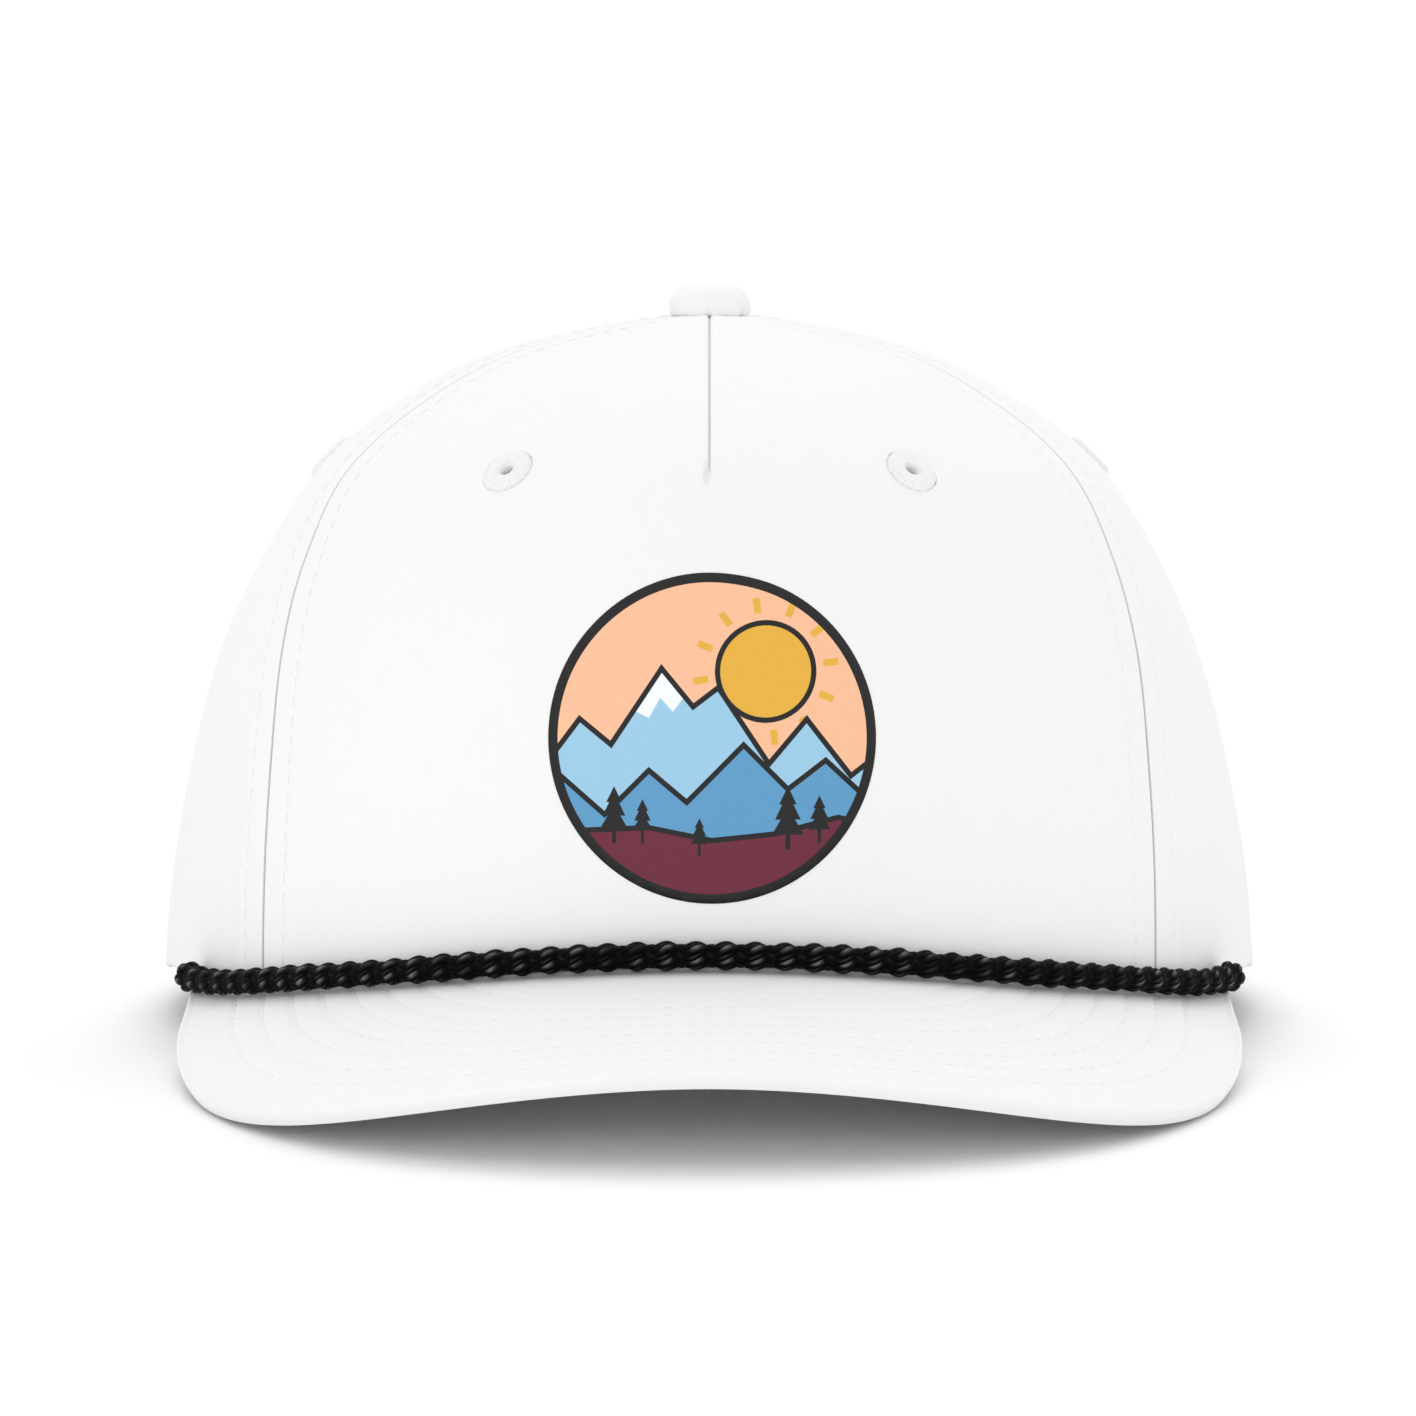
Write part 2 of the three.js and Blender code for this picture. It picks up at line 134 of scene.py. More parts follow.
RIM_GIVE = 1
RIM_BLEND_ANGLE = 25
WALL = 1.8
BUTTON_RISE = 5.2


def linear(colour):
    """Linear red, green and blue of an sRGB hex colour."""
    channels = [int(colour[place:place + 2], 16) / 255 for place in (1, 3, 5)]
    return tuple(c / 12.92 if c <= 0.04045 else ((c + 0.055) / 1.055) ** 2.4 for c in channels)


def length_property(name, description, millimetres):
    """A size that a user may change, shown in the scene's unit of length."""
    return bpy.props.FloatProperty(
        name=name, description=description, default=millimetres * MM, min=0, unit="LENGTH", precision=5,
    )


def colour_property(name, description, colour):
    """A colour that a user may change, from its sRGB hex value."""
    return bpy.props.FloatVectorProperty(
        name=name, description=description, default=linear(colour), min=0, max=1, subtype="COLOR",
    )


class CapSizes(bpy.types.PropertyGroup):
    """Sizes of the cap's cloth, stitching, braid, button and strap"""

    wall: length_property("Cloth wall", "Thickness of a panel with its stiff backing", WALL)
    groove: length_property("Seam groove", "How deep the line between two panels is", 2.0)
    topstitch: length_property("Topstitch distance", "From a seam to the row of stitches beside it", 5.8)
    stitch_spacing: length_property("Stitch spacing", "From one stitch to the next", 3.2)
    stitch_length: length_property("Stitch length", "How much of each stitch shows", 2.8)
    thread: length_property("Thread thickness", "Of the sewing thread", 0.38)
    braid: length_property("Rope thickness", "Of the braided rope, lobe to lobe", 4.8)
    braid_pitch: length_property("Braid pitch", "Along the rope for one turn of a strand", 28.2)
    button: length_property("Button width", "Of the covered button", 13.4)
    button_height: length_property("Button height", "Above the crown", BUTTON_RISE)
    eyelet: length_property("Eyelet width", "Of the ring of thread", 8.6)
    eyelet_hole: length_property("Eyelet hole", "Width of the hole", 2.4)
    print_width: length_property("Print width", "Of the round print on the front panel", 52)
    snap_pitch: length_property("Snap pitch", "From one post of the strap to the next", 9.5)
    snap_post: length_property("Snap post width", "Of a post of the strap", 4.4)
    eyelet_threads: bpy.props.IntProperty(
        name="Eyelet threads", description="Threads round one eyelet", default=60, min=12,
    )


class CapColours(bpy.types.PropertyGroup):
    """Colours of the cap's cloth, threads, braid, strap, print and floor"""

    cloth: colour_property("Cloth", "White twill of the panels, the peak and the button", "#F1F1F0")
    backing: colour_property("Backing", "Stiff open mesh inside the front panel", "#EFEFEC")
    thread: colour_property("Thread", "Sewing thread and eyelets", "#F1F1F0")
    band: colour_property("Sweatband", "Soft band inside the rim", "#F4F4F1")
    braid: colour_property("Braid", "Black braided rope", "#050505")
    # Painted highlight: the braid's colour turns this lighter grey where a strand crests, standing in for
    # its glint
    braid_painted_glint: colour_property("Braid glint", "Silky filaments where a strand crests", "#6E6E6E")
    strap: colour_property("Strap", "Moulded snap strap", "#F1F1EF")
    rivet: colour_property("Rivet", "Painted rivet under the button", "#DADAD8")
    outline: colour_property("Print outline", "Black lines of the print", "#101012")
    sky: colour_property("Print sky", "Peach sky of the print", "#FBC19A")
    sun: colour_property("Print sun", "Gold sun of the print", "#E9B23C")
    far_hills: colour_property("Print far hills", "Light blue hills of the print", "#9CCBE6")
    near_hills: colour_property("Print near hills", "Blue hills of the print", "#5C9CC8")
    ground: colour_property("Print ground", "Maroon ground of the print", "#6B1C35")
    snow: colour_property("Print snow", "White tops of the print's hills", "#F4FAFC")
    floor: colour_property("Floor", "Plain pale floor", "#FCFCFC")


# The cap's shape, as formulas that take single values or arrays

def section(level):
    """Height, half width, front reach, rear reach and front seam's angle; level counts SECTIONS' rows."""
    level = np.asarray(level, float)
    index = np.clip(np.floor(level).astype(int), 0, len(SECTIONS) - 2)
    share = (level - index)[..., None]
    a, b, c, d = (GHOST_ROWS[index + step] for step in range(4))
    straight = (c - a) * share
    square = (2 * a - 5 * b + 4 * c - d) * share ** 2
    cube = (3 * b - a - 3 * c + d) * share ** 3
    value = b + (straight + square + cube) / 2
    return [value[..., column] for column in range(5)]


def level_of(height):
    """The level of a height, by halving."""
    low = np.zeros(np.shape(height))
    high = np.full(np.shape(height), len(SECTIONS) - 1.0)
    for _ in range(40):
        middle = (low + high) / 2
        below = section(middle)[0] < height
        low = np.where(below, middle, low)
        high = np.where(below, high, middle)
    return low


def crown_point(angle, level):
    """A point on the crown's outside; angle 0 is the centre front and 90 the wearer's left."""
    angle, level = np.broadcast_arrays(np.asarray(angle, float), np.asarray(level, float))
    height, side, front, rear, _ = section(level)
    turn = np.radians(angle)
    reach = np.where(np.cos(turn) > 0, front, rear)
    return np.stack([side * np.sin(turn), -reach * np.cos(turn), height], -1)


def all_round(count):
    """Evenly spaced turns round a circle."""
    return np.linspace(0, 2 * math.pi, count, endpoint=False)


def unit(vectors):
    """Vectors of length 1 the same way."""
    return vectors / np.maximum(np.linalg.norm(vectors, axis=-1, keepdims=True), 1e-9)


def crown_normal(angle, level):
    """The direction out of the smooth crown."""
    step = 0.01
    level = np.asarray(level, float)
    across = crown_point(np.add(angle, 1), level) - crown_point(np.subtract(angle, 1), level)
    up = crown_point(angle, level + step) - crown_point(angle, np.maximum(level - step, 0))
    return unit(np.cross(across, up))


def under_crown(angle, level, depth):
    """A point so deep inside the smooth crown; a depth below 0 lies outside it."""
    depth = np.asarray(depth, float)[..., None]
    return crown_point(angle, level) - crown_normal(angle, level) * depth


def smooth(value, start, end):
    """0 before start and 1 past end, with a smooth rise between them."""
    share = np.clip((np.asarray(value, float) - start) / (end - start), 0, 1)
    return share * share * (3 - 2 * share)


def rolled_edge(share):
    """How far an edge rolls away on a quarter circle: 1 on the edge itself, 0 from a share of 1."""
    return 1 - np.sqrt(np.clip(1 - (1 - np.minimum(share, 1)) ** 2, 0, 1))


def turn_between(angle, other=0):
    """Degrees between two angles, the shorter way round."""
    return np.abs((angle - other + 180) % 360 - 180)


def peak_top(x, y):
    """The height of the peak's upper face; its cloth dips a little more beside the temples."""
    bend = PEAK_BEND + PEAK_BEND_GROWTH * (PEAK_BEND_FROM - y)
    dip = TEMPLE_DROP * smooth(np.abs(x), 50, 84) * smooth(y, -80, -45)
    return PEAK_HEIGHT + PEAK_FALL * (y + RIM_FRONT) - bend * x * x / 2 - dip


def peak_slopes(x, y):
    """The rise of the peak's upper face for a millimetre to the side, and for one to the back."""
    step = 0.5
    side = (peak_top(x + step, y) - peak_top(x - step, y)) / (2 * step)
    back = (peak_top(x, y + step) - peak_top(x, y - step)) / (2 * step)
    return side, back


def peak_outline(share):
    """Points of the peak's outline; share runs from -1 at the right temple to 1 at the left one."""
    share = np.asarray(share, float)
    rounded = 1 - PEAK_STRAIGHT_SHARE
    turn = np.minimum(np.abs(share) / rounded, 1) * math.pi / 2
    power = 2 / PEAK_SQUARENESS
    x = PEAK_HALF * np.sin(turn) ** power
    y = PEAK_WIDEST + (PEAK_FRONT - PEAK_WIDEST) * np.maximum(np.cos(turn), 0) ** power
    temple = crown_point(PEAK_END_ANGLE, 0)
    back = np.maximum(np.abs(share) - rounded, 0) / PEAK_STRAIGHT_SHARE
    x += (temple[0] + WALL / 2 - x) * back
    y += (temple[1] - y) * back
    return np.stack([np.sign(share) * x, y], -1)


def rest_tilt():
    """The tilt of a line from the back of the rim that touches the peak's underside."""
    x, y = peak_outline(np.arange(0, 1.0001, 0.005)).T
    drop = RIM_GIVE - (peak_top(x, y) - PEAK_THICK)
    return float(np.max(np.arctan2(drop, RIM_REAR - y)))


TILT = rest_tilt()
LIFT = RIM_REAR * math.sin(TILT) - RIM_GIVE * math.cos(TILT)


def frame_shift():
    """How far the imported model's middle lies behind the level cap's, from where the peak's front is."""
    # The tipped button is highest a little off its centre, 0.1 mm above this
    button_top = (CROWN_TOP + CLEAR + BUTTON_RISE) * math.cos(TILT) + LIFT
    if abs(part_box("button")[1].z / MM - button_top) > 0.3:
        raise RuntimeError("the packed cap doesn't stand as these formulas have it")
    front_low = peak_top(0, PEAK_FRONT) - PEAK_THICK
    level_front = PEAK_FRONT * math.cos(TILT) + front_low * math.sin(TILT)
    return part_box("peak")[0].y / MM - level_front


SHIFT = frame_shift()


def turn_to_rest(directions):
    """Directions of the level cap, tipped back as it stands on the floor."""
    x, y, z = np.moveaxis(np.asarray(directions, float), -1, 0)
    back = y * math.cos(TILT) + z * math.sin(TILT)
    height = z * math.cos(TILT) - y * math.sin(TILT)
    return np.stack([x, back, height], -1)


def to_rest(points):
    """Points of the level cap, in millimetres, as it stands on the floor, in metres."""
    return (turn_to_rest(points) + (0, SHIFT, LIFT)) * MM


def stand_height(y):
    """The floor's height under a point of the level cap, less what the rim's edge gives."""
    return RIM_GIVE - math.tan(TILT) * (RIM_REAR - y)


def rim_height(angle, point):
    """The height of the rim's edge: over the peak in front and on the floor behind."""
    away = smooth(turn_between(np.asarray(angle, float)), PEAK_END_ANGLE, PEAK_END_ANGLE + RIM_BLEND_ANGLE)
    on_peak = peak_top(point[..., 0], point[..., 1]) + CLEAR
    return np.maximum(on_peak * (1 - away), stand_height(point[..., 1]))


def side_seam(front_seam):
    """The angle of the seam behind a side panel, halfway to the back."""
    return (front_seam + 180) / 2


def rear_angle(x):
    """The angle of a point at the back of the rim, from its distance to the side."""
    return 180 - np.degrees(np.arcsin(x / RIM_SIDE))


BAND_END_ANGLE = rear_angle(ARCH_HALF + 1)
STRAP_END_ANGLE = rear_angle(ARCH_HALF + STRAP_TUCK)
EYELET_LEVEL = float(level_of(EYELET_HEIGHT))


def tip_level():
    """The level at which the panels' tips stop, just clear of the button's shank."""
    levels = np.linspace(len(SECTIONS) - 2, len(SECTIONS) - 1, 400)
    return float(levels[section(levels)[1] > SHANK_RADIUS + CLEAR][-1])


TIP_LEVEL = tip_level()


def eyelet_places():
    """The angle of each eyelet, by the name of its node."""
    _, side, _, _, seam = section(EYELET_LEVEL)
    rear = side_seam(seam)
    angles = {
        "front": math.degrees(math.asin(EYELET_FRONT_X / side)),
        "side": (seam + rear) / 2,
        "back": (rear + 180) / 2,
    }
    places = {}
    for where, angle in angles.items():
        places[f"eyelet_{where}_left"] = float(angle)
        places[f"eyelet_{where}_right"] = -float(angle)
    return places


# The cloth's relief: seams, topstitching, the dart, soft dents

SEAMS = {
    "front_left": (lambda seam: seam),
    "front_right": (lambda seam: -seam),
    "side_left": side_seam,
    "side_right": (lambda seam: -side_seam(seam)),
    "rear": (lambda seam: seam * 0 + 180),
}
ALLOWANCE_EDGE = 8.4
ALLOWANCE_RISE = 0.26
ROLL = 0.7
CRACK_HALF = 0.32
VALLEY_HALF = 0.55
VALLEY_DEPTH = 0.13
ROW_SHARE = 0.36
# Soft waves in the cloth; the side and back panels have more of them
WAVES = 0.07
MORE_WAVES = 0.16
WAVE_LENGTH = 46
WAVE_PHASE = 0.4
DART_LINE_HALF = 0.3
DART_LINE_DEPTH = 0.55
DART_PUFF_HALF = 2.2
DART_PUFF_RISE = 0.18
# Dents of the front panel: x, height, half width, half height and depth; the first is the dart's foot
DENTS = (
    (-0.3, DART_FOOT - 0.8, 0.55, 1.5, 1.5),
    (4.5, 67, 5, 7, 0.28),
    (30, 24, 14, 10, 0.25),
)


def seam_scale(name, level):
    """Millimetres of cloth, square to a seam, for one degree round the crown."""
    step = 0.02
    _, side, front, rear, seam = section(level)
    turn = np.radians(SEAMS[name](seam))
    reach = np.where(np.cos(turn) > 0, front, rear)
    across = np.hypot(side * np.cos(turn), reach * np.sin(turn))
    lower = np.maximum(np.asarray(level, float) - step, 0)
    upper = lower + 2 * step
    drift = np.radians(SEAMS[name](section(upper)[4]) - SEAMS[name](section(lower)[4]))
    rise = crown_point(np.degrees(turn), upper) - crown_point(np.degrees(turn), lower)
    slope = drift * across / np.maximum(np.linalg.norm(rise, axis=-1), 1e-6)
    return np.radians(across) / np.hypot(1, slope)


def seam_distance(angle, level):
    """The distance of cloth points from the nearest seam, in millimetres."""
    nearest = np.full(np.broadcast(angle, level).shape, 1e3)
    for name, place in SEAMS.items():
        apart = turn_between(angle, place(section(level)[4]))
        nearest = np.minimum(nearest, apart * seam_scale(name, level))
    return nearest


def ripple(point, wavelength, phase):
    """A soft wave through space, the sum of three directions."""
    directions = ((0.8, 0.3, 0.5), (-0.5, 0.7, 0.45), (0.25, -0.6, 0.8))
    wave = 0
    for number, direction in enumerate(directions):
        wave = wave + np.sin(point @ np.array(direction) * 2 * math.pi / wavelength + phase + 1.9 * number)
    return wave / len(directions)


def dent(point, x, height, half_wide, half_high, depth):
    """A soft oval dent in the front of the crown."""
    off = ((point[..., 0] - x) / half_wide) ** 2 + ((point[..., 2] - height) / half_high) ** 2
    return -depth * np.exp(-off) * (point[..., 1] < 0)


def row_distance(topstitch, level):
    """The distance of a row of stitches from its seam; the rows draw together towards the button."""
    return np.minimum(topstitch, ROW_SHARE * section(level)[1])


def cloth_relief(angle, level, topstitch, groove):
    """How far the crown's cloth stands proud of the smooth crown, in millimetres."""
    point = crown_point(angle, level)
    apart = seam_distance(angle, level)
    radius = section(level)[1]
    # Each panel's folded edge rolls down to the seam, and a thin crack stays between the two
    relief = -ROLL * rolled_edge(apart / ROLL) - (groove - ROLL) * (1 - smooth(apart, 0, CRACK_HALF))
    relief = relief + ALLOWANCE_RISE * (1 - smooth(apart, ALLOWANCE_EDGE - 0.5, ALLOWANCE_EDGE + 1.2))
    valley = VALLEY_DEPTH * smooth(radius, 8, 14)
    relief = relief - valley * np.exp(-((apart - row_distance(topstitch, level)) / VALLEY_HALF) ** 2)
    softness = WAVES + MORE_WAVES * smooth(turn_between(angle), 55, 85)
    relief = relief + softness * ripple(point, WAVE_LENGTH, WAVE_PHASE) + 0.05 * ripple(point, 17, 2.2)
    dart = (point[..., 2] > DART_FOOT - 1.5) & (point[..., 1] < 0)
    pinch = np.exp(-(point[..., 0] / DART_LINE_HALF) ** 2) * DART_LINE_DEPTH
    pinch = pinch - DART_PUFF_RISE * np.exp(-(point[..., 0] / DART_PUFF_HALF) ** 2)
    relief = relief - dart * pinch * smooth(point[..., 2], DART_FOOT - 1.5, DART_FOOT + 2)
    for shape in DENTS:
        relief = relief + dent(point, *shape)
    return relief


def cloth_point(angle, level, lift, sizes):
    """A point on the finished cloth's outside, or lift millimetres above it."""
    relief = cloth_relief(angle, level, sizes.topstitch / MM, sizes.groove / MM)
    return under_crown(angle, level, -relief - lift)


def front_place(x, height):
    """Angle and level of the front panel's point at a distance to the side and a height."""
    level = level_of(height)
    return np.degrees(np.arcsin(x / section(level)[1])), level


def rear_place(x, height):
    """The same at the back of the crown."""
    angle, level = front_place(x, height)
    return 180 - angle, level


# Meshes

def in_scene(name, data):
    """A new object in the scene."""
    thing = bpy.data.objects.new(name, data)
    bpy.context.scene.collection.objects.link(thing)
    return thing


def new_object(name, mesh, materials):
    """Links a finished mesh as a piece of the cap, with its finishes by name."""
    for material in materials:
        mesh.materials.append(bpy.data.materials[material])
    piece = in_scene(name, mesh)
    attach(piece, "root")
    return piece


def plain_mesh(name, points, faces):
    """A mesh from points of the level cap, in millimetres."""
    mesh = bpy.data.meshes.new(name)
    mesh.from_pydata(to_rest(points).tolist(), [], [list(map(int, face)) for face in faces])
    return mesh


def map_points(mesh, uv):
    """Maps each corner of a mesh as its point is: one pair in millimetres for each point."""
    corners = np.zeros(len(mesh.loops), int)
    mesh.loops.foreach_get("vertex_index", corners)
    layer = mesh.uv_layers.get("cloth_mm") or mesh.uv_layers.new(name="cloth_mm")
    layer.data.foreach_set("uv", np.asarray(uv, float)[corners].ravel())


def face_outwards(mesh):
    """Turns the faces of a closed mesh outwards."""
    shell = bmesh.new()
    shell.from_mesh(mesh)
    bmesh.ops.recalc_face_normals(shell, faces=shell.faces)
    shell.to_mesh(mesh)
    shell.free()


def closed_mesh(name, points, faces, uv, kinds=None, crease=38):
    """A closed, smooth mesh; faces that meet at more than crease degrees keep a sharp edge."""
    mesh = plain_mesh(name, points, faces)
    map_points(mesh, uv)
    if kinds is not None:
        mesh.polygons.foreach_set("material_index", np.asarray(kinds, int))
    face_outwards(mesh)
    mesh.shade_smooth()
    mesh.set_sharp_from_angle(angle=math.radians(crease))
    return mesh


def grid_quads(number):
    """The faces of a grid of point numbers."""
    a, b, c, d = number[:-1, :-1], number[:-1, 1:], number[1:, 1:], number[1:, :-1]
    return np.stack([a, b, c, d], -1).reshape(-1, 4)


def tube_quads(number):
    """The same for rows that are closed loops."""
    return [list(face) for face in grid_quads(np.concatenate([number, number[:, :1]], axis=1))]


def grid_uv(points):
    """Millimetres along a grid's rows, from its middle column, and up its columns."""
    across = np.linalg.norm(np.diff(points, axis=1), axis=2)
    up = np.linalg.norm(np.diff(points, axis=0), axis=2)
    u = np.pad(np.cumsum(across, axis=1), ((0, 0), (1, 0)))
    v = np.pad(np.cumsum(up, axis=0), ((1, 0), (0, 0)))
    return np.stack([u - u[:, [u.shape[1] // 2]], v], -1)


def slab_mesh(name, outside, inside):
    """A closed wall between two grids of points; its inner faces have material 1."""
    rows, columns = outside.shape[:2]
    count = rows * columns
    number = np.arange(count).reshape(rows, columns)
    ring = np.concatenate([number[0], number[1:, -1], number[-1, -2::-1], number[-2:0:-1, 0]])
    following = np.roll(ring, -1)
    outer = grid_quads(number)
    inner = outer[:, ::-1] + count
    edge = np.stack([ring, ring + count, following + count, following], -1)
    faces = np.concatenate([outer, inner, edge])
    kinds = np.repeat([0, 1, 0], [len(outer), len(inner), len(edge)])
    uv = np.tile(grid_uv(outside).reshape(-1, 2), (2, 1))
    points = np.concatenate([outside.reshape(-1, 3), inside.reshape(-1, 3)])
    return closed_mesh(name, points, faces, uv, kinds)


def sweep_mesh(name, loops, kinds=None, crease=38):
    """A closed solid through a row of closed loops, each a list of points; its ends are flat."""
    rows, around = loops.shape[:2]
    number = np.arange(rows * around).reshape(rows, around)
    faces = tube_quads(number) + [list(number[0]), list(number[-1])]
    uv = grid_uv(loops).reshape(-1, 2)
    return closed_mesh(name, loops.reshape(-1, 3), faces, uv, kinds, crease)


def cut(piece, cutters):
    """Takes the cutters away from a piece and deletes them."""
    for cutter in cutters:
        modifier = piece.modifiers.new("cut", "BOOLEAN")
        modifier.operation = "DIFFERENCE"
        modifier.solver = "EXACT"
        modifier.object = cutter
    apply_modifiers(piece)
    for cutter in cutters:
        bpy.data.meshes.remove(cutter.data)


def apply_modifiers(piece):
    """Turns a piece and its modifiers into a plain mesh."""
    bpy.context.view_layer.update()
    depsgraph = bpy.context.evaluated_depsgraph_get()
    mesh = bpy.data.meshes.new_from_object(
        piece.evaluated_get(depsgraph), preserve_all_data_layers=True, depsgraph=depsgraph,
    )
    piece.modifiers.clear()
    old = piece.data
    piece.data = mesh
    bpy.data.meshes.remove(old)
    mesh.name = piece.name


def cutter_object(points, faces):
    """A plain closed solid that only cuts."""
    mesh = plain_mesh("cutter", points, faces)
    face_outwards(mesh)
    return in_scene("cutter", mesh)


def prism(outline, low, high):
    """Points and faces of a prism: outline holds (low end, high end) pairs of points."""
    count = len(outline)
    number = np.arange(count)
    following = np.roll(number, -1)
    faces = [list(face) for face in np.stack([number, following, following + count, number + count], -1)]
    faces += [list(number[::-1]), list(number + count)]
    return np.concatenate([outline + low, outline + high]), faces


def ways_round(axis, sides):
    """Directions square to an axis, evenly all round it."""
    across = unit(np.cross(axis, (0.0, 0.13, 1.0)))
    up = np.cross(axis, across)
    turn = all_round(sides)[:, None]
    return np.cos(turn) * across + np.sin(turn) * up


def round_cutter(centre, axis, radius, reach, sides=28):
    """A cylinder through a wall, centred on a point and along an axis."""
    axis = unit(np.asarray(axis, float))
    circle_points = np.asarray(centre) + radius * ways_round(axis, sides)
    return cutter_object(*prism(circle_points, -axis * reach, axis * reach))


def ring_cutter(centre, axis, inner, outer, reach, sides=72):
    """A ring with a square section that reaches into a wall and as far out of it."""
    ways = ways_round(axis, sides)
    corners = ((inner, -reach), (outer, -reach), (outer, reach), (inner, reach))
    loops = np.stack([centre + ways * radius + axis * height for radius, height in corners], 1)
    number = np.arange(sides * 4).reshape(sides, 4)
    return cutter_object(loops.reshape(-1, 3), tube_quads(np.concatenate([number, number[:1]])))


# Node trees

THREAD_SIDES = 6
STRAND_SIDES = 10


def add_node(tree, kind, inputs=None, **settings):
    """Adds a node with its settings; an input is a value, a socket, or a node for its first output."""
    node = tree.nodes.new(kind)
    for name, value in settings.items():
        setattr(node, name, value)
    for key, value in (inputs or {}).items():
        if isinstance(value, bpy.types.Node):
            value = value.outputs[0]
        if isinstance(value, bpy.types.NodeSocket):
            tree.links.new(value, node.inputs[key])
        else:
            node.inputs[key].default_value = value
    return node


def work_out(tree, known, rows):
    """Adds a table of sums; a row is its result's name, a value, an operation and another value."""
    for name, first, operation, second in rows:
        values = {0: known.get(first, first), 1: known.get(second, second)}
        known[name] = add_node(tree, "ShaderNodeMath", values, operation=operation)
    return known


def geometry_tree(name, inputs):
    """A node tree that takes a mesh, named numbers with their values, and a material."""
    tree = bpy.data.node_groups.new(name, "GeometryNodeTree")
    tree.interface.new_socket("Geometry", in_out="INPUT", socket_type="NodeSocketGeometry")
    for label, value in inputs.items():
        kind = "NodeSocketInt" if isinstance(value, int) else "NodeSocketFloat"
        tree.interface.new_socket(label, in_out="INPUT", socket_type=kind).default_value = value
    tree.interface.new_socket("Material", in_out="INPUT", socket_type="NodeSocketMaterial")
    tree.interface.new_socket("Geometry", in_out="OUTPUT", socket_type="NodeSocketGeometry")
    return tree, add_node(tree, "NodeGroupInput").outputs


def stored(tree, name, kind):
    """What a mesh stores under a name."""
    return add_node(tree, "GeometryNodeInputNamedAttribute", {"Name": name}, data_type=kind)


def thread_tube(tree, curve, profile_width, profile_height, sides, scale=1.0):
    """Nodes that give a curve a round or oval section and a map of its length and girth, in mm."""
    along = add_node(tree, "GeometryNodeSplineParameter")
    keep_length = add_node(tree, "GeometryNodeCaptureAttribute", {"Geometry": curve})
    keep_length.capture_items.new("FLOAT", "length")
    tree.links.new(along.outputs["Length"], keep_length.inputs[1])
    circle = add_node(tree, "GeometryNodeCurvePrimitiveCircle", {"Resolution": sides, "Radius": 1.0})
    size = add_node(tree, "ShaderNodeCombineXYZ", {"X": profile_height, "Y": profile_width, "Z": 1.0})
    oval = add_node(tree, "GeometryNodeTransform", {"Geometry": circle, "Scale": size})
    keep_girth = add_node(tree, "GeometryNodeCaptureAttribute", {"Geometry": oval})
    keep_girth.capture_items.new("FLOAT", "girth")
    tree.links.new(along.outputs["Factor"], keep_girth.inputs[1])
    tube = add_node(tree, "GeometryNodeCurveToMesh", {
        "Curve": keep_length, "Profile Curve": keep_girth, "Scale": scale, "Fill Caps": True,
    })
    millimetres = add_node(tree, "ShaderNodeMath", {0: keep_length.outputs[1], 1: MM}, operation="DIVIDE")
    pair = add_node(tree, "ShaderNodeCombineXYZ", {"X": millimetres, "Y": keep_girth.outputs[1]})
    return add_node(tree, "GeometryNodeStoreNamedAttribute", {
        "Geometry": tube, "Name": "thread_mm", "Value": pair,
    }, data_type="FLOAT2", domain="CORNER")


def end_tree(tree, geometry, material):
    """Ends a tree with a plain, smooth mesh of one material, and gives the tree."""
    real = add_node(tree, "GeometryNodeRealizeInstances", {"Geometry": geometry})
    smoothed = add_node(tree, "GeometryNodeSetShadeSmooth", {"Geometry": real})
    dressed = add_node(tree, "GeometryNodeSetMaterial", {"Geometry": smoothed, "Material": material})
    add_node(tree, "NodeGroupOutput", {"Geometry": dressed})
    return tree


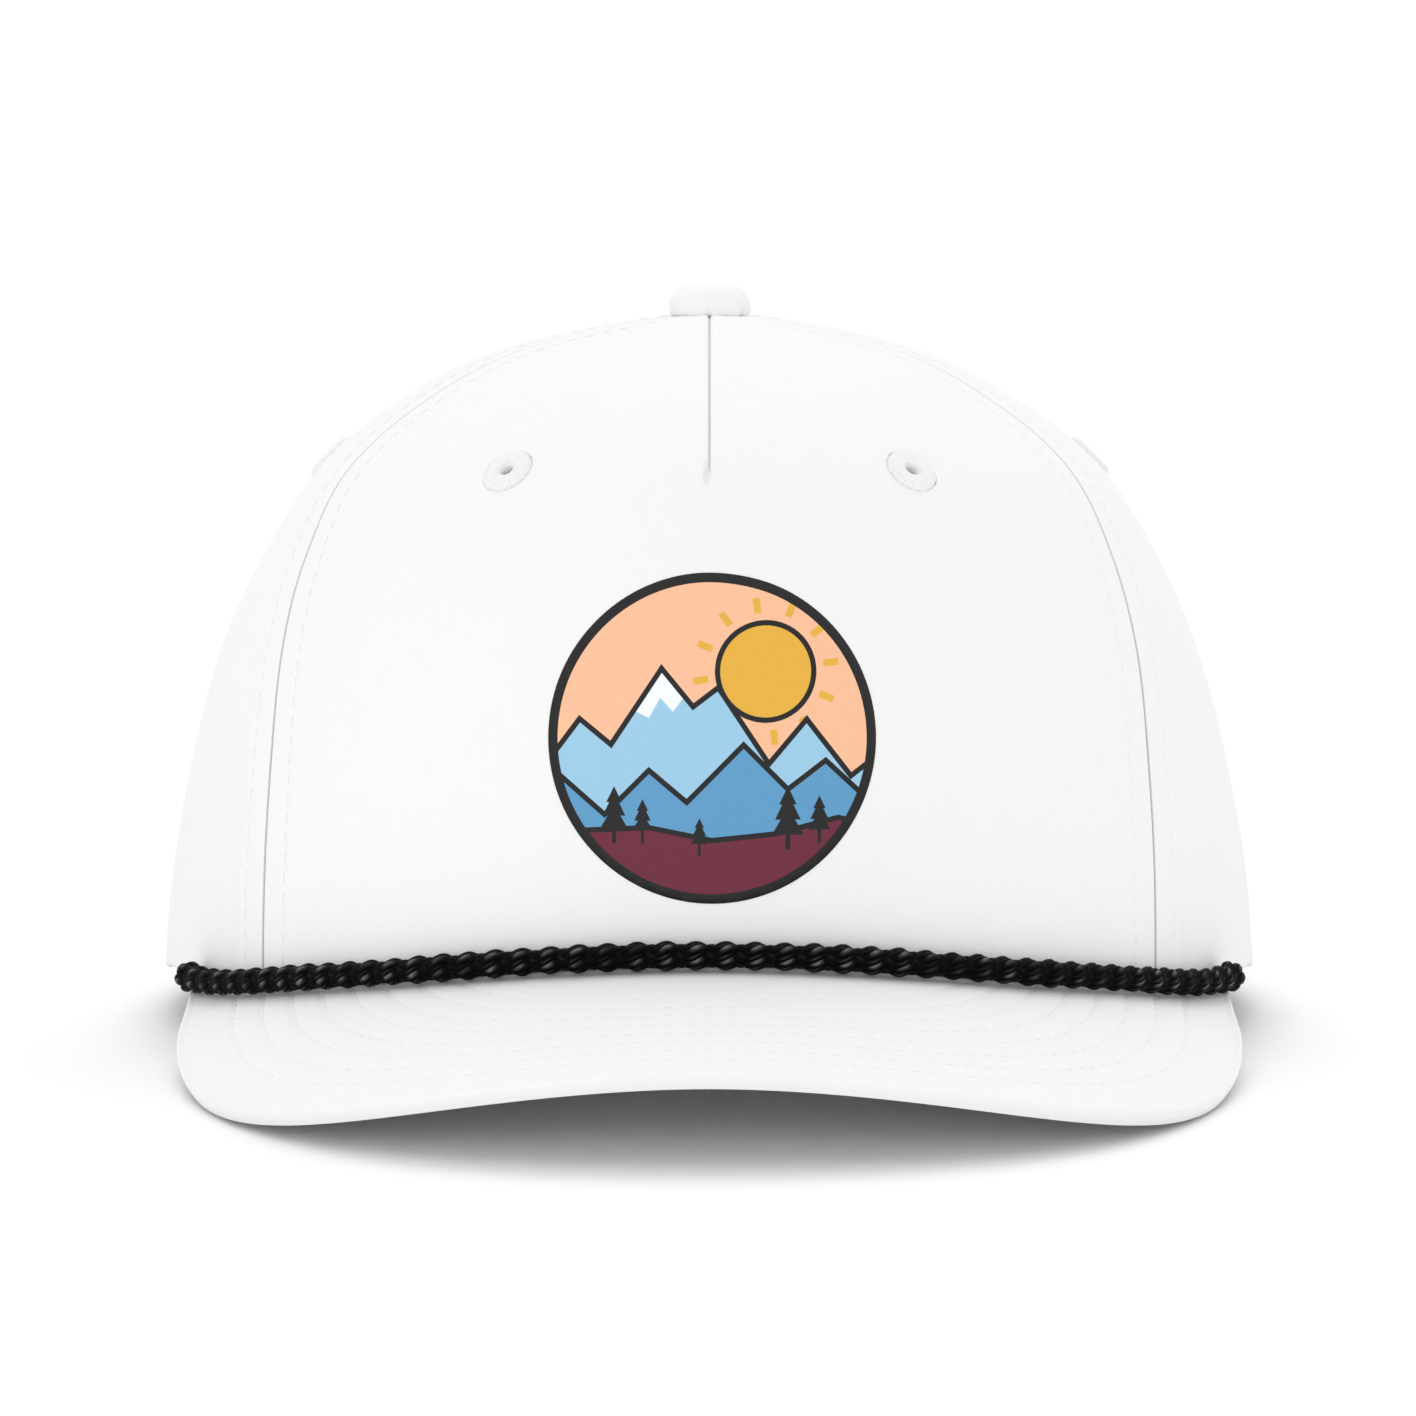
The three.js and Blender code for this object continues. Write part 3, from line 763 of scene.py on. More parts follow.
def stitch_tree():
    """Stitches along the edges of a mesh, standing on the cloth whose direction it stores."""
    tree, given = geometry_tree("Row of stitches", {
        "Spacing": 0.0029, "Stitch length": 0.0024, "Thread": 0.00034, "Sink": 0.0003,
        "Rise": 0.0002, "Unevenness": 0.06, "Seed": 1,
    })
    line = add_node(tree, "GeometryNodeMeshToCurve", {"Mesh": given["Geometry"]})
    points = add_node(tree, "GeometryNodeResampleCurve", {
        "Curve": line, "Length": given["Spacing"],
    }, mode="LENGTH")
    normal = stored(tree, "cloth_out", "FLOAT_VECTOR")
    turn = add_node(tree, "FunctionNodeAxesToRotation", {
        "Primary Axis": normal, "Secondary Axis": add_node(tree, "GeometryNodeInputTangent"),
    }, primary_axis="Z", secondary_axis="X")
    sums = work_out(tree, {socket.name: socket for socket in given}, (
        ("slack", "Unevenness", "MULTIPLY", -1.0),
        ("half", "Stitch length", "MULTIPLY", 0.5),
        ("low", "Sink", "MULTIPLY", -1.0),
        ("radius", "Thread", "MULTIPLY", 0.5),
    ))
    wander = add_node(tree, "FunctionNodeRandomValue", {
        "Min": add_node(tree, "ShaderNodeCombineXYZ", {"Z": sums["slack"]}),
        "Max": add_node(tree, "ShaderNodeCombineXYZ", {"Z": given["Unevenness"]}),
        "Seed": given["Seed"],
    }, data_type="FLOAT_VECTOR")
    turned = add_node(tree, "FunctionNodeRotateRotation", {
        "Rotation": turn, "Rotate By": add_node(tree, "FunctionNodeEulerToRotation", {"Euler": wander}),
    }, rotation_space="LOCAL")
    ends = {"Resolution": 7}
    for end, share, height in (
        ("Start", -1.0, "low"), ("Start Handle", -0.72, "Rise"),
        ("End Handle", 0.72, "Rise"), ("End", 1.0, "low"),
    ):
        along = add_node(tree, "ShaderNodeMath", {0: sums["half"], 1: share}, operation="MULTIPLY")
        ends[end] = add_node(tree, "ShaderNodeCombineXYZ", {"X": along, "Z": sums[height]})
    arc = add_node(tree, "GeometryNodeCurvePrimitiveBezierSegment", ends)
    stitch = thread_tube(tree, arc, sums["radius"], sums["radius"], THREAD_SIDES)
    row = add_node(tree, "GeometryNodeInstanceOnPoints", {
        "Points": points, "Instance": stitch, "Rotation": turned,
    })
    return end_tree(tree, row, given["Material"])


def braid_tree():
    """Strands, as many each way round, that pass over one and under one along a path."""
    tree, given = geometry_tree("Round braid", {
        "Strands each way": 6, "Pitch": 0.0288, "Strand ring": 0.0013, "Weave height": 0.0004,
        "Lead": 0.0004, "Strand half width": 0.0008, "Strand half height": 0.0006,
        "First column": -0.28, "Samples": 640,
    })
    path = add_node(tree, "GeometryNodeMeshToCurve", {"Mesh": given["Geometry"]})
    fine = add_node(tree, "GeometryNodeResampleCurve", {"Curve": path, "Count": given["Samples"]})
    normal = stored(tree, "cloth_out", "FLOAT_VECTOR")
    swell = stored(tree, "swell", "FLOAT")
    tangent = add_node(tree, "GeometryNodeInputTangent")
    along = add_node(tree, "GeometryNodeSplineParameter")
    keep = add_node(tree, "GeometryNodeCaptureAttribute", {"Geometry": fine})
    kept = (("VECTOR", tangent.outputs["Tangent"]), ("FLOAT", along.outputs["Length"]))
    for number, (kind, value) in enumerate(kept):
        keep.capture_items.new(kind, f"kept {number}")
        tree.links.new(value, keep.inputs[number + 1])
    copies = add_node(tree, "GeometryNodeDuplicateElements", {
        "Geometry": keep,
        "Amount": add_node(tree, "ShaderNodeMath", {
            0: given["Strands each way"], 1: 2.0,
        }, operation="MULTIPLY"),
    }, domain="SPLINE")
    known = {socket.name: socket for socket in given}
    known.update(number=copies.outputs["Duplicate Index"], length=keep.outputs[2], swell=swell)
    sums = work_out(tree, known, (
        # Even strands wind one way and odd ones the other
        ("way", "number", "MODULO", 2.0),
        ("twice way", "way", "MULTIPLY", 2.0),
        ("sign", 1.0, "SUBTRACT", "twice way"),
        ("pair", "number", "DIVIDE", 2.0),
        ("strand", "pair", "FLOOR", 0.0),
        ("turns", "length", "DIVIDE", "Pitch"),
        ("wound", "turns", "MULTIPLY", 2 * math.pi),
        ("whole turns", "strand", "MULTIPLY", 2 * math.pi),
        ("start", "whole turns", "DIVIDE", "Strands each way"),
        ("wound so", "wound", "MULTIPLY", "sign"),
        ("turned", "start", "ADD", "wound so"),
        ("azimuth", "turned", "ADD", "First column"),
        ("cosine", "azimuth", "COSINE", 0.0),
        ("sine", "azimuth", "SINE", 0.0),
        ("crossings", "wound", "MULTIPLY", "Strands each way"),
        ("beat", "crossings", "COSINE", 0.0),
        ("wave", "beat", "MULTIPLY", "sign"),
        # The strands that wind one way are pulled tighter, so the others stand a little prouder
        ("either way", "way", "SUBTRACT", 0.5),
        ("prouder", "either way", "MULTIPLY", "Lead"),
        ("woven up", "wave", "MULTIPLY", "Weave height"),
        ("height", "woven up", "ADD", "prouder"),
        ("plain ring", "height", "ADD", "Strand ring"),
        ("ring", "plain ring", "MULTIPLY", "swell"),
        # Painted highlight: only the strands that wind one way get a strong painted glint, as if they faced
        # the light with their filaments
        ("more", "way", "MULTIPLY", 0.85),
        ("facing", 0.15, "ADD", "more"),
        ("painted_glint_share", "wave", "MULTIPLY", "facing"),
    ))
    side = add_node(tree, "ShaderNodeVectorMath", {0: keep.outputs[1], 1: normal}, operation="CROSS_PRODUCT")
    halves = {
        number: add_node(tree, "ShaderNodeVectorMath", {0: axis, "Scale": share}, operation="SCALE")
        for number, (axis, share) in enumerate(((normal, sums["cosine"]), (side, sums["sine"])))
    }
    outward = add_node(tree, "ShaderNodeVectorMath", halves, operation="ADD")
    offset = add_node(tree, "ShaderNodeVectorMath", {0: outward, "Scale": sums["ring"]}, operation="SCALE")
    moved = add_node(tree, "GeometryNodeSetPosition", {"Geometry": copies, "Offset": offset})
    # The painted glint's strength, stored for the braid's colour
    with_painted_glint = add_node(tree, "GeometryNodeStoreNamedAttribute", {
        "Geometry": moved, "Name": "crest", "Value": sums["painted_glint_share"],
    }, data_type="FLOAT", domain="POINT")
    upright = add_node(tree, "GeometryNodeSetCurveNormal", {"Curve": with_painted_glint}, mode="FREE")
    tree.links.new(outward.outputs[0], upright.inputs["Normal"])
    half_sizes = (given["Strand half width"], given["Strand half height"])
    strands = thread_tube(tree, upright, *half_sizes, STRAND_SIDES, swell)
    return end_tree(tree, strands, given["Material"])


def eyelet_tree():
    """Threads laid over a ring, each from the hole's edge to the cloth outside."""
    tree, given = geometry_tree("Ring of threads", {"Threads": 52, "Thread": 0.0004, "Seed": 1})
    spine = add_node(tree, "GeometryNodeMeshToCurve", {"Mesh": given["Geometry"]})
    fine = add_node(tree, "GeometryNodeResampleCurve", {"Curve": spine, "Count": 12})
    radius = add_node(tree, "ShaderNodeMath", {0: given["Thread"], 1: 0.5}, operation="MULTIPLY")
    thread = thread_tube(tree, fine, radius, radius, THREAD_SIDES)
    ring = add_node(tree, "GeometryNodeMeshCircle", {"Vertices": given["Threads"], "Radius": 1.0})
    place = add_node(tree, "GeometryNodeInputPosition")
    turn = add_node(tree, "FunctionNodeAxesToRotation", {
        "Primary Axis": (0.0, 0.0, 1.0), "Secondary Axis": place,
    }, primary_axis="Z", secondary_axis="X")
    keep = add_node(tree, "GeometryNodeCaptureAttribute", {"Geometry": ring})
    keep.capture_items.new("ROTATION", "turn")
    tree.links.new(turn.outputs["Rotation"], keep.inputs[1])
    inwards = add_node(tree, "ShaderNodeVectorMath", {0: place, "Scale": -1.0}, operation="SCALE")
    centred = add_node(tree, "GeometryNodeSetPosition", {"Geometry": keep, "Offset": inwards})
    size = add_node(tree, "FunctionNodeRandomValue", {
        "Min": (0.975, 1.0, 0.92), "Max": (1.02, 1.0, 1.06), "Seed": given["Seed"],
    }, data_type="FLOAT_VECTOR")
    wound = add_node(tree, "GeometryNodeInstanceOnPoints", {
        "Points": centred, "Instance": thread, "Rotation": keep.outputs[1], "Scale": size,
    })
    return end_tree(tree, wound, given["Material"])


def post_tree():
    """Snap posts that stand on the points of a mesh: a stem with a wider, rounded head."""
    tree, given = geometry_tree("Row of snap posts", {"Width": 0.0044, "Height": 0.0022})
    normal = stored(tree, "cloth_out", "FLOAT_VECTOR")
    turn = add_node(tree, "FunctionNodeAxesToRotation", {
        "Primary Axis": normal, "Secondary Axis": (0.0, 0.0, 1.0),
    }, primary_axis="Z", secondary_axis="Y")
    radius = add_node(tree, "ShaderNodeMath", {0: given["Width"], 1: 0.5}, operation="MULTIPLY")
    size = add_node(tree, "ShaderNodeCombineXYZ", {"X": radius, "Y": radius, "Z": given["Height"]})
    sphere = add_node(tree, "GeometryNodeMeshUVSphere", {"Segments": 28, "Rings": 18, "Radius": 1.0})
    place = add_node(tree, "GeometryNodeInputPosition")
    x, y, z = add_node(tree, "ShaderNodeSeparateXYZ", {"Vector": place}).outputs
    # A ball pushed out to a drum: its sides stand straight and its top stays softly domed
    sums = work_out(tree, {"x": x, "y": y}, (
        ("x squared", "x", "MULTIPLY", "x"),
        ("y squared", "y", "MULTIPLY", "y"),
        ("squared", "x squared", "ADD", "y squared"),
        ("girth", "squared", "POWER", 0.5),
        ("not nothing", "girth", "MAXIMUM", 0.001),
        ("steep", "not nothing", "POWER", -0.62),
        ("wide x", "x", "MULTIPLY", "steep"),
        ("wide y", "y", "MULTIPLY", "steep"),
    ))
    widened = add_node(tree, "ShaderNodeCombineXYZ", {"X": sums["wide x"], "Y": sums["wide y"], "Z": z})
    drum = add_node(tree, "GeometryNodeSetPosition", {"Geometry": sphere, "Position": widened})
    sized = add_node(tree, "GeometryNodeTransform", {"Geometry": drum, "Scale": size})
    row = add_node(tree, "GeometryNodeInstanceOnPoints", {
        "Points": given["Geometry"], "Instance": sized, "Rotation": turn,
    })
    return end_tree(tree, row, given["Material"])


def tree_result(name, source, tree, values, material):
    """Runs a node tree on a source mesh and keeps what it makes as a plain piece."""
    values = {**values, "Material": bpy.data.materials[material]}
    holder = in_scene(name, source)
    modifier = holder.modifiers.new(tree.name, "NODES")
    modifier.node_group = tree
    for socket in tree.interface.items_tree:
        if socket.in_out == "INPUT" and socket.name in values:
            modifier[socket.identifier] = values[socket.name]
    apply_modifiers(holder)
    if not holder.data.polygons:
        raise RuntimeError(f"{name}: the tree made nothing")
    # Nodes that make their own mesh leave an empty slot before the material they set
    if holder.data.materials[0] is None:
        holder.data.materials.pop(index=0)
    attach(holder, "root")
    return holder


def line_mesh(name, lines):
    """Polylines as edges; each line is its points on the level cap and the cloth's direction there."""
    points = np.concatenate([to_rest(line) for line, _ in lines])
    outward = np.concatenate([turn_to_rest(direction) for _, direction in lines])
    edges = []
    start = 0
    for line, _ in lines:
        edges += [(start + i, start + i + 1) for i in range(len(line) - 1)]
        start += len(line)
    mesh = bpy.data.meshes.new(name)
    mesh.from_pydata(points.tolist(), edges, [])
    attribute = mesh.attributes.new("cloth_out", "FLOAT_VECTOR", "POINT")
    attribute.data.foreach_set("vector", outward.ravel())
    return mesh


def stitch_piece(name, lines, sizes, seed, rise=0.55):
    """A piece of sewing thread: stitches along lines on the cloth, rising by a share of their thickness."""
    return tree_result(name, line_mesh(name, lines), stitch_tree(), {
        "Spacing": sizes.stitch_spacing, "Stitch length": sizes.stitch_length, "Thread": sizes.thread,
        "Sink": sizes.thread, "Rise": sizes.thread * rise, "Seed": seed,
    }, "spun polyester thread")


# Materials

def new_material(name, roughness, colour, **values):
    """A material whose plain values are set on the shader itself."""
    material = bpy.data.materials.new(name)
    material.use_nodes = True
    shader = material.node_tree.nodes["Principled BSDF"]
    for key, value in {"Roughness": roughness, "Base Color": colour, **values}.items():
        shader.inputs[key.replace("_", " ")].default_value = value
    return material.node_tree, shader


def object_noise(tree, millimetres, detail=2.0, roughness=0.5):
    """Noise through space whose spots are about so many millimetres wide."""
    place = add_node(tree, "ShaderNodeTexCoord")
    return add_node(tree, "ShaderNodeTexNoise", {
        "Vector": place.outputs["Object"], "Scale": 1 / (millimetres * MM), "Detail": detail,
        "Roughness": roughness,
    })


def mapped_axes(tree, layer):
    """The two axes of a piece's own map, in millimetres."""
    layer_map = add_node(tree, "ShaderNodeUVMap", uv_map=layer)
    u, v, _ = add_node(tree, "ShaderNodeSeparateXYZ", {"Vector": layer_map}).outputs
    return u, v


def wave_of(tree, value, period, phase=0.0):
    """A sine of a length, with a period in the same unit."""
    turn = add_node(tree, "ShaderNodeMath", {
        0: value, 1: 2 * math.pi / period, 2: phase,
    }, operation="MULTIPLY_ADD")
    return add_node(tree, "ShaderNodeMath", {0: turn}, operation="SINE")


def shade_colour(tree, shader, factor, first, second):
    """Mixes a surface's colour between two, by a factor from 0 to 1."""
    mixed = add_node(tree, "ShaderNodeMix", {0: factor, 6: first, 7: second}, data_type="RGBA")
    tree.links.new(mixed.outputs[2], shader.inputs["Base Color"])
    return mixed.outputs[2]


def bump_from(tree, shader, height, millimetres):
    """Raises a surface by a height of up to so many millimetres."""
    bump = add_node(tree, "ShaderNodeBump", {"Height": height, "Distance": millimetres * MM})
    tree.links.new(bump.outputs["Normal"], shader.inputs["Normal"])


def darker(colour, share):
    return (*(channel * share for channel in colour[:3]), 1)


# Real threads lie about 0.3 mm apart; they are drawn twice as coarse, so that they show at all
THREAD_SPACING = 0.62
BUCKRAM_CELL = 1.6
PLY_LAY = 0.9
FILAMENT_LAY = 26
FILAMENT_COUNT = 17


def crossing_threads(tree, spacing, strength):
    """The height of a plain weave: its crossing threads, and the slubs in them."""
    u, v = mapped_axes(tree, "cloth_mm")
    crossing = add_node(tree, "ShaderNodeMath", {
        0: wave_of(tree, u, 2 * spacing), 1: wave_of(tree, v, 2 * spacing),
    }, operation="MULTIPLY")
    threads = add_node(tree, "ShaderNodeMath", {0: crossing, 1: strength}, operation="MULTIPLY")
    slubs = object_noise(tree, 0.9, 3.0, 0.6)
    return add_node(tree, "ShaderNodeMath", {0: threads, 1: slubs}, operation="ADD")


def woven(name, colour, spacing=THREAD_SPACING, depth=0.05, roughness=0.88, soil=0.985):
    """Plain woven cotton: matt, with crossing threads just visible and a soft, uneven light on it."""
    tree, shader = new_material(
        name, roughness, colour, Sheen_Weight=0.12, Sheen_Roughness=0.45, Specular_IOR_Level=0.3,
    )
    bump_from(tree, shader, crossing_threads(tree, spacing, 0.14), depth)
    mottled = shade_colour(tree, shader, object_noise(tree, 7, 4.0, 0.62), darker(colour, soil), colour)
    # Painted shade: the colour darkens in the seams' cracks and along the dart, where the shut fold lies in
    # shade
    fold = add_node(tree, "ShaderNodeAttribute", attribute_name="fold").outputs["Fac"]
    shade_colour(tree, shader, fold, mottled, darker(colour, 0.22))


def open_mesh(name, colour):
    """Buckram: a stiff open mesh fused to the cloth, coarse enough for its cells to show."""
    tree, shader = new_material(name, 0.8, colour)
    u, v = mapped_axes(tree, "cloth_mm")
    cells = add_node(tree, "ShaderNodeMath", {
        0: wave_of(tree, u, BUCKRAM_CELL), 1: wave_of(tree, v, BUCKRAM_CELL),
    }, operation="MAXIMUM")
    bump_from(tree, shader, cells, 0.12)
    # Painted shade: the colour darkens in the hollows between the mesh's raised cells
    raised = add_node(tree, "ShaderNodeMath", {0: cells, 1: 0.5, 2: 0.5}, operation="MULTIPLY_ADD")
    shade_colour(tree, shader, raised, darker(colour, 0.86), colour)


def sewing_thread(name, colour):
    """Spun polyester: soft gloss, with the twist of its plies just visible."""
    tree, shader = new_material(name, 0.5, colour, Sheen_Weight=0.2)
    along, girth = mapped_axes(tree, "thread_mm")
    lag = add_node(tree, "ShaderNodeMath", {0: along, 1: PLY_LAY}, operation="DIVIDE")
    twist = add_node(tree, "ShaderNodeMath", {0: girth, 1: lag}, operation="ADD")
    bump_from(tree, shader, wave_of(tree, twist, 0.5), 0.012)
    shade_colour(tree, shader, object_noise(tree, 0.7), darker(colour, 0.975), colour)


def braided_polyester(name, dark, light):
    """Black multifilament polyester: filaments along each strand, with a painted grey glint where a strand
    crests.
    """
    tree, shader = new_material(name, 0.5, dark, Specular_IOR_Level=0.06)
    along, girth = mapped_axes(tree, "thread_mm")
    sums = work_out(tree, {
        "along": along, "girth": girth, "facing out": wave_of(tree, girth, 1.0, math.pi / 2),
        "crest": add_node(tree, "ShaderNodeAttribute", attribute_name="crest").outputs["Fac"],
        "wisps": object_noise(tree, 0.9, 3.0, 0.6), "spots": object_noise(tree, 9),
    }, (
        ("lag", "along", "DIVIDE", FILAMENT_LAY),
        ("lay", "girth", "ADD", "lag"),
        ("raised", "crest", "MAXIMUM", 0.0),
        ("on crest", "raised", "POWER", 1.6),
        ("outside", "facing out", "MAXIMUM", 0.0),
        ("narrow", "outside", "POWER", 4.0),
        ("glint", "on crest", "MULTIPLY", "narrow"),
        ("streaks", "glint", "MULTIPLY", "wisps"),
        # The painted glint is stronger on some lengths of yarn than on others, at random
        ("above", "spots", "SUBTRACT", 0.36),
        ("shine", "above", "MULTIPLY", 15.0),
        ("dullest", "shine", "MAXIMUM", 0.4),
        ("lively", "dullest", "MINIMUM", 2.6),
        ("painted_glint_mix", "streaks", "MULTIPLY", "lively"),
    ))
    filaments = add_node(tree, "ShaderNodeMath", {
        0: wave_of(tree, sums["lay"], 1 / FILAMENT_COUNT), 1: object_noise(tree, 0.35, 3.0, 0.6),
    }, operation="ADD")
    bump_from(tree, shader, filaments, 0.035)
    # Painted highlight: the colour turns from near black to grey along the strands' crests
    shade_colour(tree, shader, sums["painted_glint_mix"], dark, light)


def moulded_plastic(name, colour):
    """Injection-moulded polyethylene: satin, with a faint spark-eroded grain."""
    tree, shader = new_material(name, 0.42, colour, IOR=1.51)
    bump_from(tree, shader, object_noise(tree, 0.35), 0.012)
    shade_colour(tree, shader, object_noise(tree, 9, 3.0), darker(colour, 0.975), colour)


def painted_steel(name, colour):
    """Baked enamel on a pressed rivet: smooth, with a slight orange peel."""
    tree, shader = new_material(name, 0.35, colour)
    bump_from(tree, shader, object_noise(tree, 0.8, 1.0), 0.01)
    shade_colour(tree, shader, object_noise(tree, 3), darker(colour, 0.96), colour)


def printed_ink(name, colour):
    """Ink printed on cloth: thin and matt, so the weave still shows through its even colour."""
    tree, shader = new_material(name, 0.72, colour)
    bump_from(tree, shader, crossing_threads(tree, THREAD_SPACING, 0.22), 0.035)
    shade_colour(tree, shader, object_noise(tree, 1.2, 4.0, 0.7), darker(colour, 0.93), colour)


def seamless_floor(name, colour):
    """Matt studio paper: even, with a barely visible tooth."""
    tree, shader = new_material(name, 0.9, colour)
    bump_from(tree, shader, object_noise(tree, 2.5), 0.02)
    shade_colour(tree, shader, object_noise(tree, 300), darker(colour, 0.995), colour)


PRINT_INKS = ("outline", "sky", "sun", "far_hills", "near_hills", "ground", "snow")


def make_materials(colours):
    """Every finish of the cap, once."""
    if "white cotton twill" in bpy.data.materials:
        return
    woven("white cotton twill", (*colours.cloth, 1))
    open_mesh("fused buckram", (*colours.backing, 1))
    sewing_thread("spun polyester thread", (*colours.thread, 1))
    band = (*colours.band, 1)
    woven("brushed cotton band", band, spacing=0.7, depth=0.08, roughness=0.95, soil=0.96)
    braided_polyester("black braided polyester", (*colours.braid, 1), (*colours.braid_painted_glint, 1))
    moulded_plastic("moulded snap plastic", (*colours.strap, 1))
    painted_steel("enamelled rivet", (*colours.rivet, 1))
    seamless_floor("studio paper", (*colours.floor, 1))
    for ink in PRINT_INKS:
        printed_ink(f"ink {ink}".replace("_", " "), (*getattr(colours, ink), 1))


# The pieces

PANEL_ROWS = 130
NEAR_RIM = (0, 0.0008, 0.0018, 0.0034, 0.0055)
RIM_ROLL = 0.85
# Where columns of points lie beside a seam and beside the dart, in millimetres
NEAR_SEAM = np.array((
    0, 0.07, 0.14, 0.22, 0.34, 0.5, 0.7, 1.0, 1.5, 2.3, 3.3,
    4.3, 4.9, 5.3, 5.55, 5.8, 6.05, 6.3, 6.7, 7.4, 8.2, 9.2,
))
NEAR_DART = np.array((0.12, 0.24, 0.38, 0.6, 0.9, 1.3, 2.0, 3.0))
# Painted shade in the seams: from where to where it fades out beside a seam, in millimetres, and its share
# on the rear seams
PAINTED_SHADE_FROM, PAINTED_SHADE_TO = 0.1, 0.36
REAR_PAINTED_SHADE = 0.7
TAPE_HALF = 9.0
TAPE_RISE = 0.45
EYELET_HOLE_ROOM = 0.5
EYELET_DITCH_IN = 0.15
EYELET_DITCH_OUT = 0.14
EYELET_DITCH_DEEP = 0.4


def column_shares(width, middle_count, with_dart):
    """Where a panel's columns lie at each row's width: close together beside seams and the dart."""
    squeeze = np.minimum(1, width / (3 * NEAR_SEAM[-1]))[:, None]
    near = NEAR_SEAM * squeeze / width[:, None]
    inner = near[:, -1:]
    if with_dart:
        beside = NEAR_DART * squeeze / width[:, None]
        steps = np.linspace(0, 1, middle_count // 2 + 2)[1:-1]
        rest = inner + (0.5 - beside[:, -1:] - inner) * steps
        half = np.concatenate([near, rest, 0.5 - beside[:, ::-1]], axis=1)
        return np.concatenate([half, np.full((len(width), 1), 0.5), 1 - half[:, ::-1]], axis=1)
    steps = np.linspace(0, 1, middle_count + 2)[1:-1]
    rest = inner + (1 - 2 * inner) * steps
    return np.concatenate([near, rest, 1 - near[:, ::-1]], axis=1)


def panel_grid(start, end, middle_count, with_dart):
    """Angles and levels of a panel's points between two seams, and how far its folded rim rolls in there."""
    rows = np.concatenate([NEAR_RIM, np.linspace(NEAR_RIM[-1] + 0.003, 1, PANEL_ROWS)])
    nominal = 0.3 + (TIP_LEVEL - 0.3) * rows
    _, side, front, _, seam = section(nominal)
    width = np.radians(end(seam) - start(seam)) * (side + front) / 2
    share = column_shares(np.maximum(width, 0.2), middle_count, with_dart)
    foot = start(RIM_SEAM) + (end(RIM_SEAM) - start(RIM_SEAM)) * share
    rim = rim_height(foot, crown_point(foot, 0)) / FIRST_STEP
    level = rim + (TIP_LEVEL - rim) * rows[:, None]
    seam_here = section(level)[4]
    angle = start(seam_here) + (end(seam_here) - start(seam_here)) * share
    return angle, level, RIM_ROLL * rolled_edge((level - rim) * FIRST_STEP / RIM_ROLL)


def seam_painted_shade(angle, level):
    """How much painted shade cloth points get in a seam's crack, from 0 to 1, most where the fold is
    deepest; the dart gets it too.
    """
    point = crown_point(angle, level)
    fold = 1 - smooth(seam_distance(angle, level), PAINTED_SHADE_FROM, PAINTED_SHADE_TO)
    # The rear seams get less painted shade than the front ones
    fold = fold * np.where(point[..., 1] < 0, 1, REAR_PAINTED_SHADE)
    on_dart = (point[..., 2] > DART_FOOT) & (point[..., 1] < 0)
    return np.maximum(fold, 0.6 * on_dart * (1 - smooth(np.abs(point[..., 0]), 0, 0.2)))


def panel_piece(name, start, end, middle_count, sizes, with_dart=False):
    """One panel of cloth, from its rim to its tip under the button."""
    angle, level, rolled = panel_grid(start, end, middle_count, with_dart)
    outside = cloth_point(angle, level, -rolled, sizes)
    tape = TAPE_RISE * (1 - smooth(seam_distance(angle, level), TAPE_HALF - 0.3, TAPE_HALF + 0.5))
    inside = under_crown(angle, level, sizes.wall / MM + tape - rolled)
    for grid in (outside, inside):
        grid[0, :, 2] = rim_height(angle[0], grid[0])
    mesh = slab_mesh(name, outside, inside)
    # Painted shade in the seams' cracks and on the dart, kept for the cloth's colour; none on the inner
    # faces
    fold = np.concatenate([seam_painted_shade(angle, level).ravel(), np.zeros(angle.size)])
    mesh.attributes.new("fold", "FLOAT", "POINT").data.foreach_set("value", fold)
    inner = "fused buckram" if with_dart else "white cotton twill"
    return new_object(name, mesh, ["white cotton twill", inner])


def arch_outline(count):
    """The back opening's edge, seen from behind, as (x, height) and the direction away from it."""
    half, shoulder, top = ARCH_HALF, ARCH_SHOULDER, ARCH_TOP
    turn = np.linspace(0, math.pi, count)
    curve = np.stack([half * np.cos(turn), shoulder + (top - shoulder) * np.sin(turn)], -1)
    away = unit(np.stack([np.cos(turn) * (top - shoulder), np.sin(turn) * half], -1))
    legs = np.linspace(0, 1, count // 5, endpoint=False)
    right = np.stack([np.full(len(legs), half), shoulder * legs], -1)
    left = np.stack([np.full(len(legs), -half), shoulder * (1 - legs) - shoulder / len(legs)], -1)
    left[:, 1] = np.maximum(left[:, 1], 0)
    sideways = np.tile((1.0, 0.0), (len(legs), 1))
    return np.concatenate([right, curve, left]), np.concatenate([sideways, away, -sideways])


def arch_cutter():
    """The opening, drawn out from inside the crown to behind it."""
    line, _ = arch_outline(60)
    line[[0, -1], 1] = -ARCH_SHOULDER
    outline = np.stack([line[:, 0], np.zeros(len(line)), line[:, 1]], -1)
    back = np.array((0, RIM_REAR, 0))
    return cutter_object(*prism(outline, back * 0.5, back * 1.5))


def eyelet_cutters(angle, sizes):
    """The hole of an eyelet, and the narrow ditch that its stitches pull into the cloth round it."""
    centre = cloth_point(angle, EYELET_LEVEL, 0, sizes)
    axis = crown_normal(angle, EYELET_LEVEL)
    outer = sizes.eyelet / MM / 2
    hole = round_cutter(centre, axis, sizes.eyelet_hole / MM / 2 + EYELET_HOLE_ROOM, 5)
    ditch = ring_cutter(centre, axis, outer - EYELET_DITCH_IN, outer + EYELET_DITCH_OUT, EYELET_DITCH_DEEP)
    return [hole, ditch]


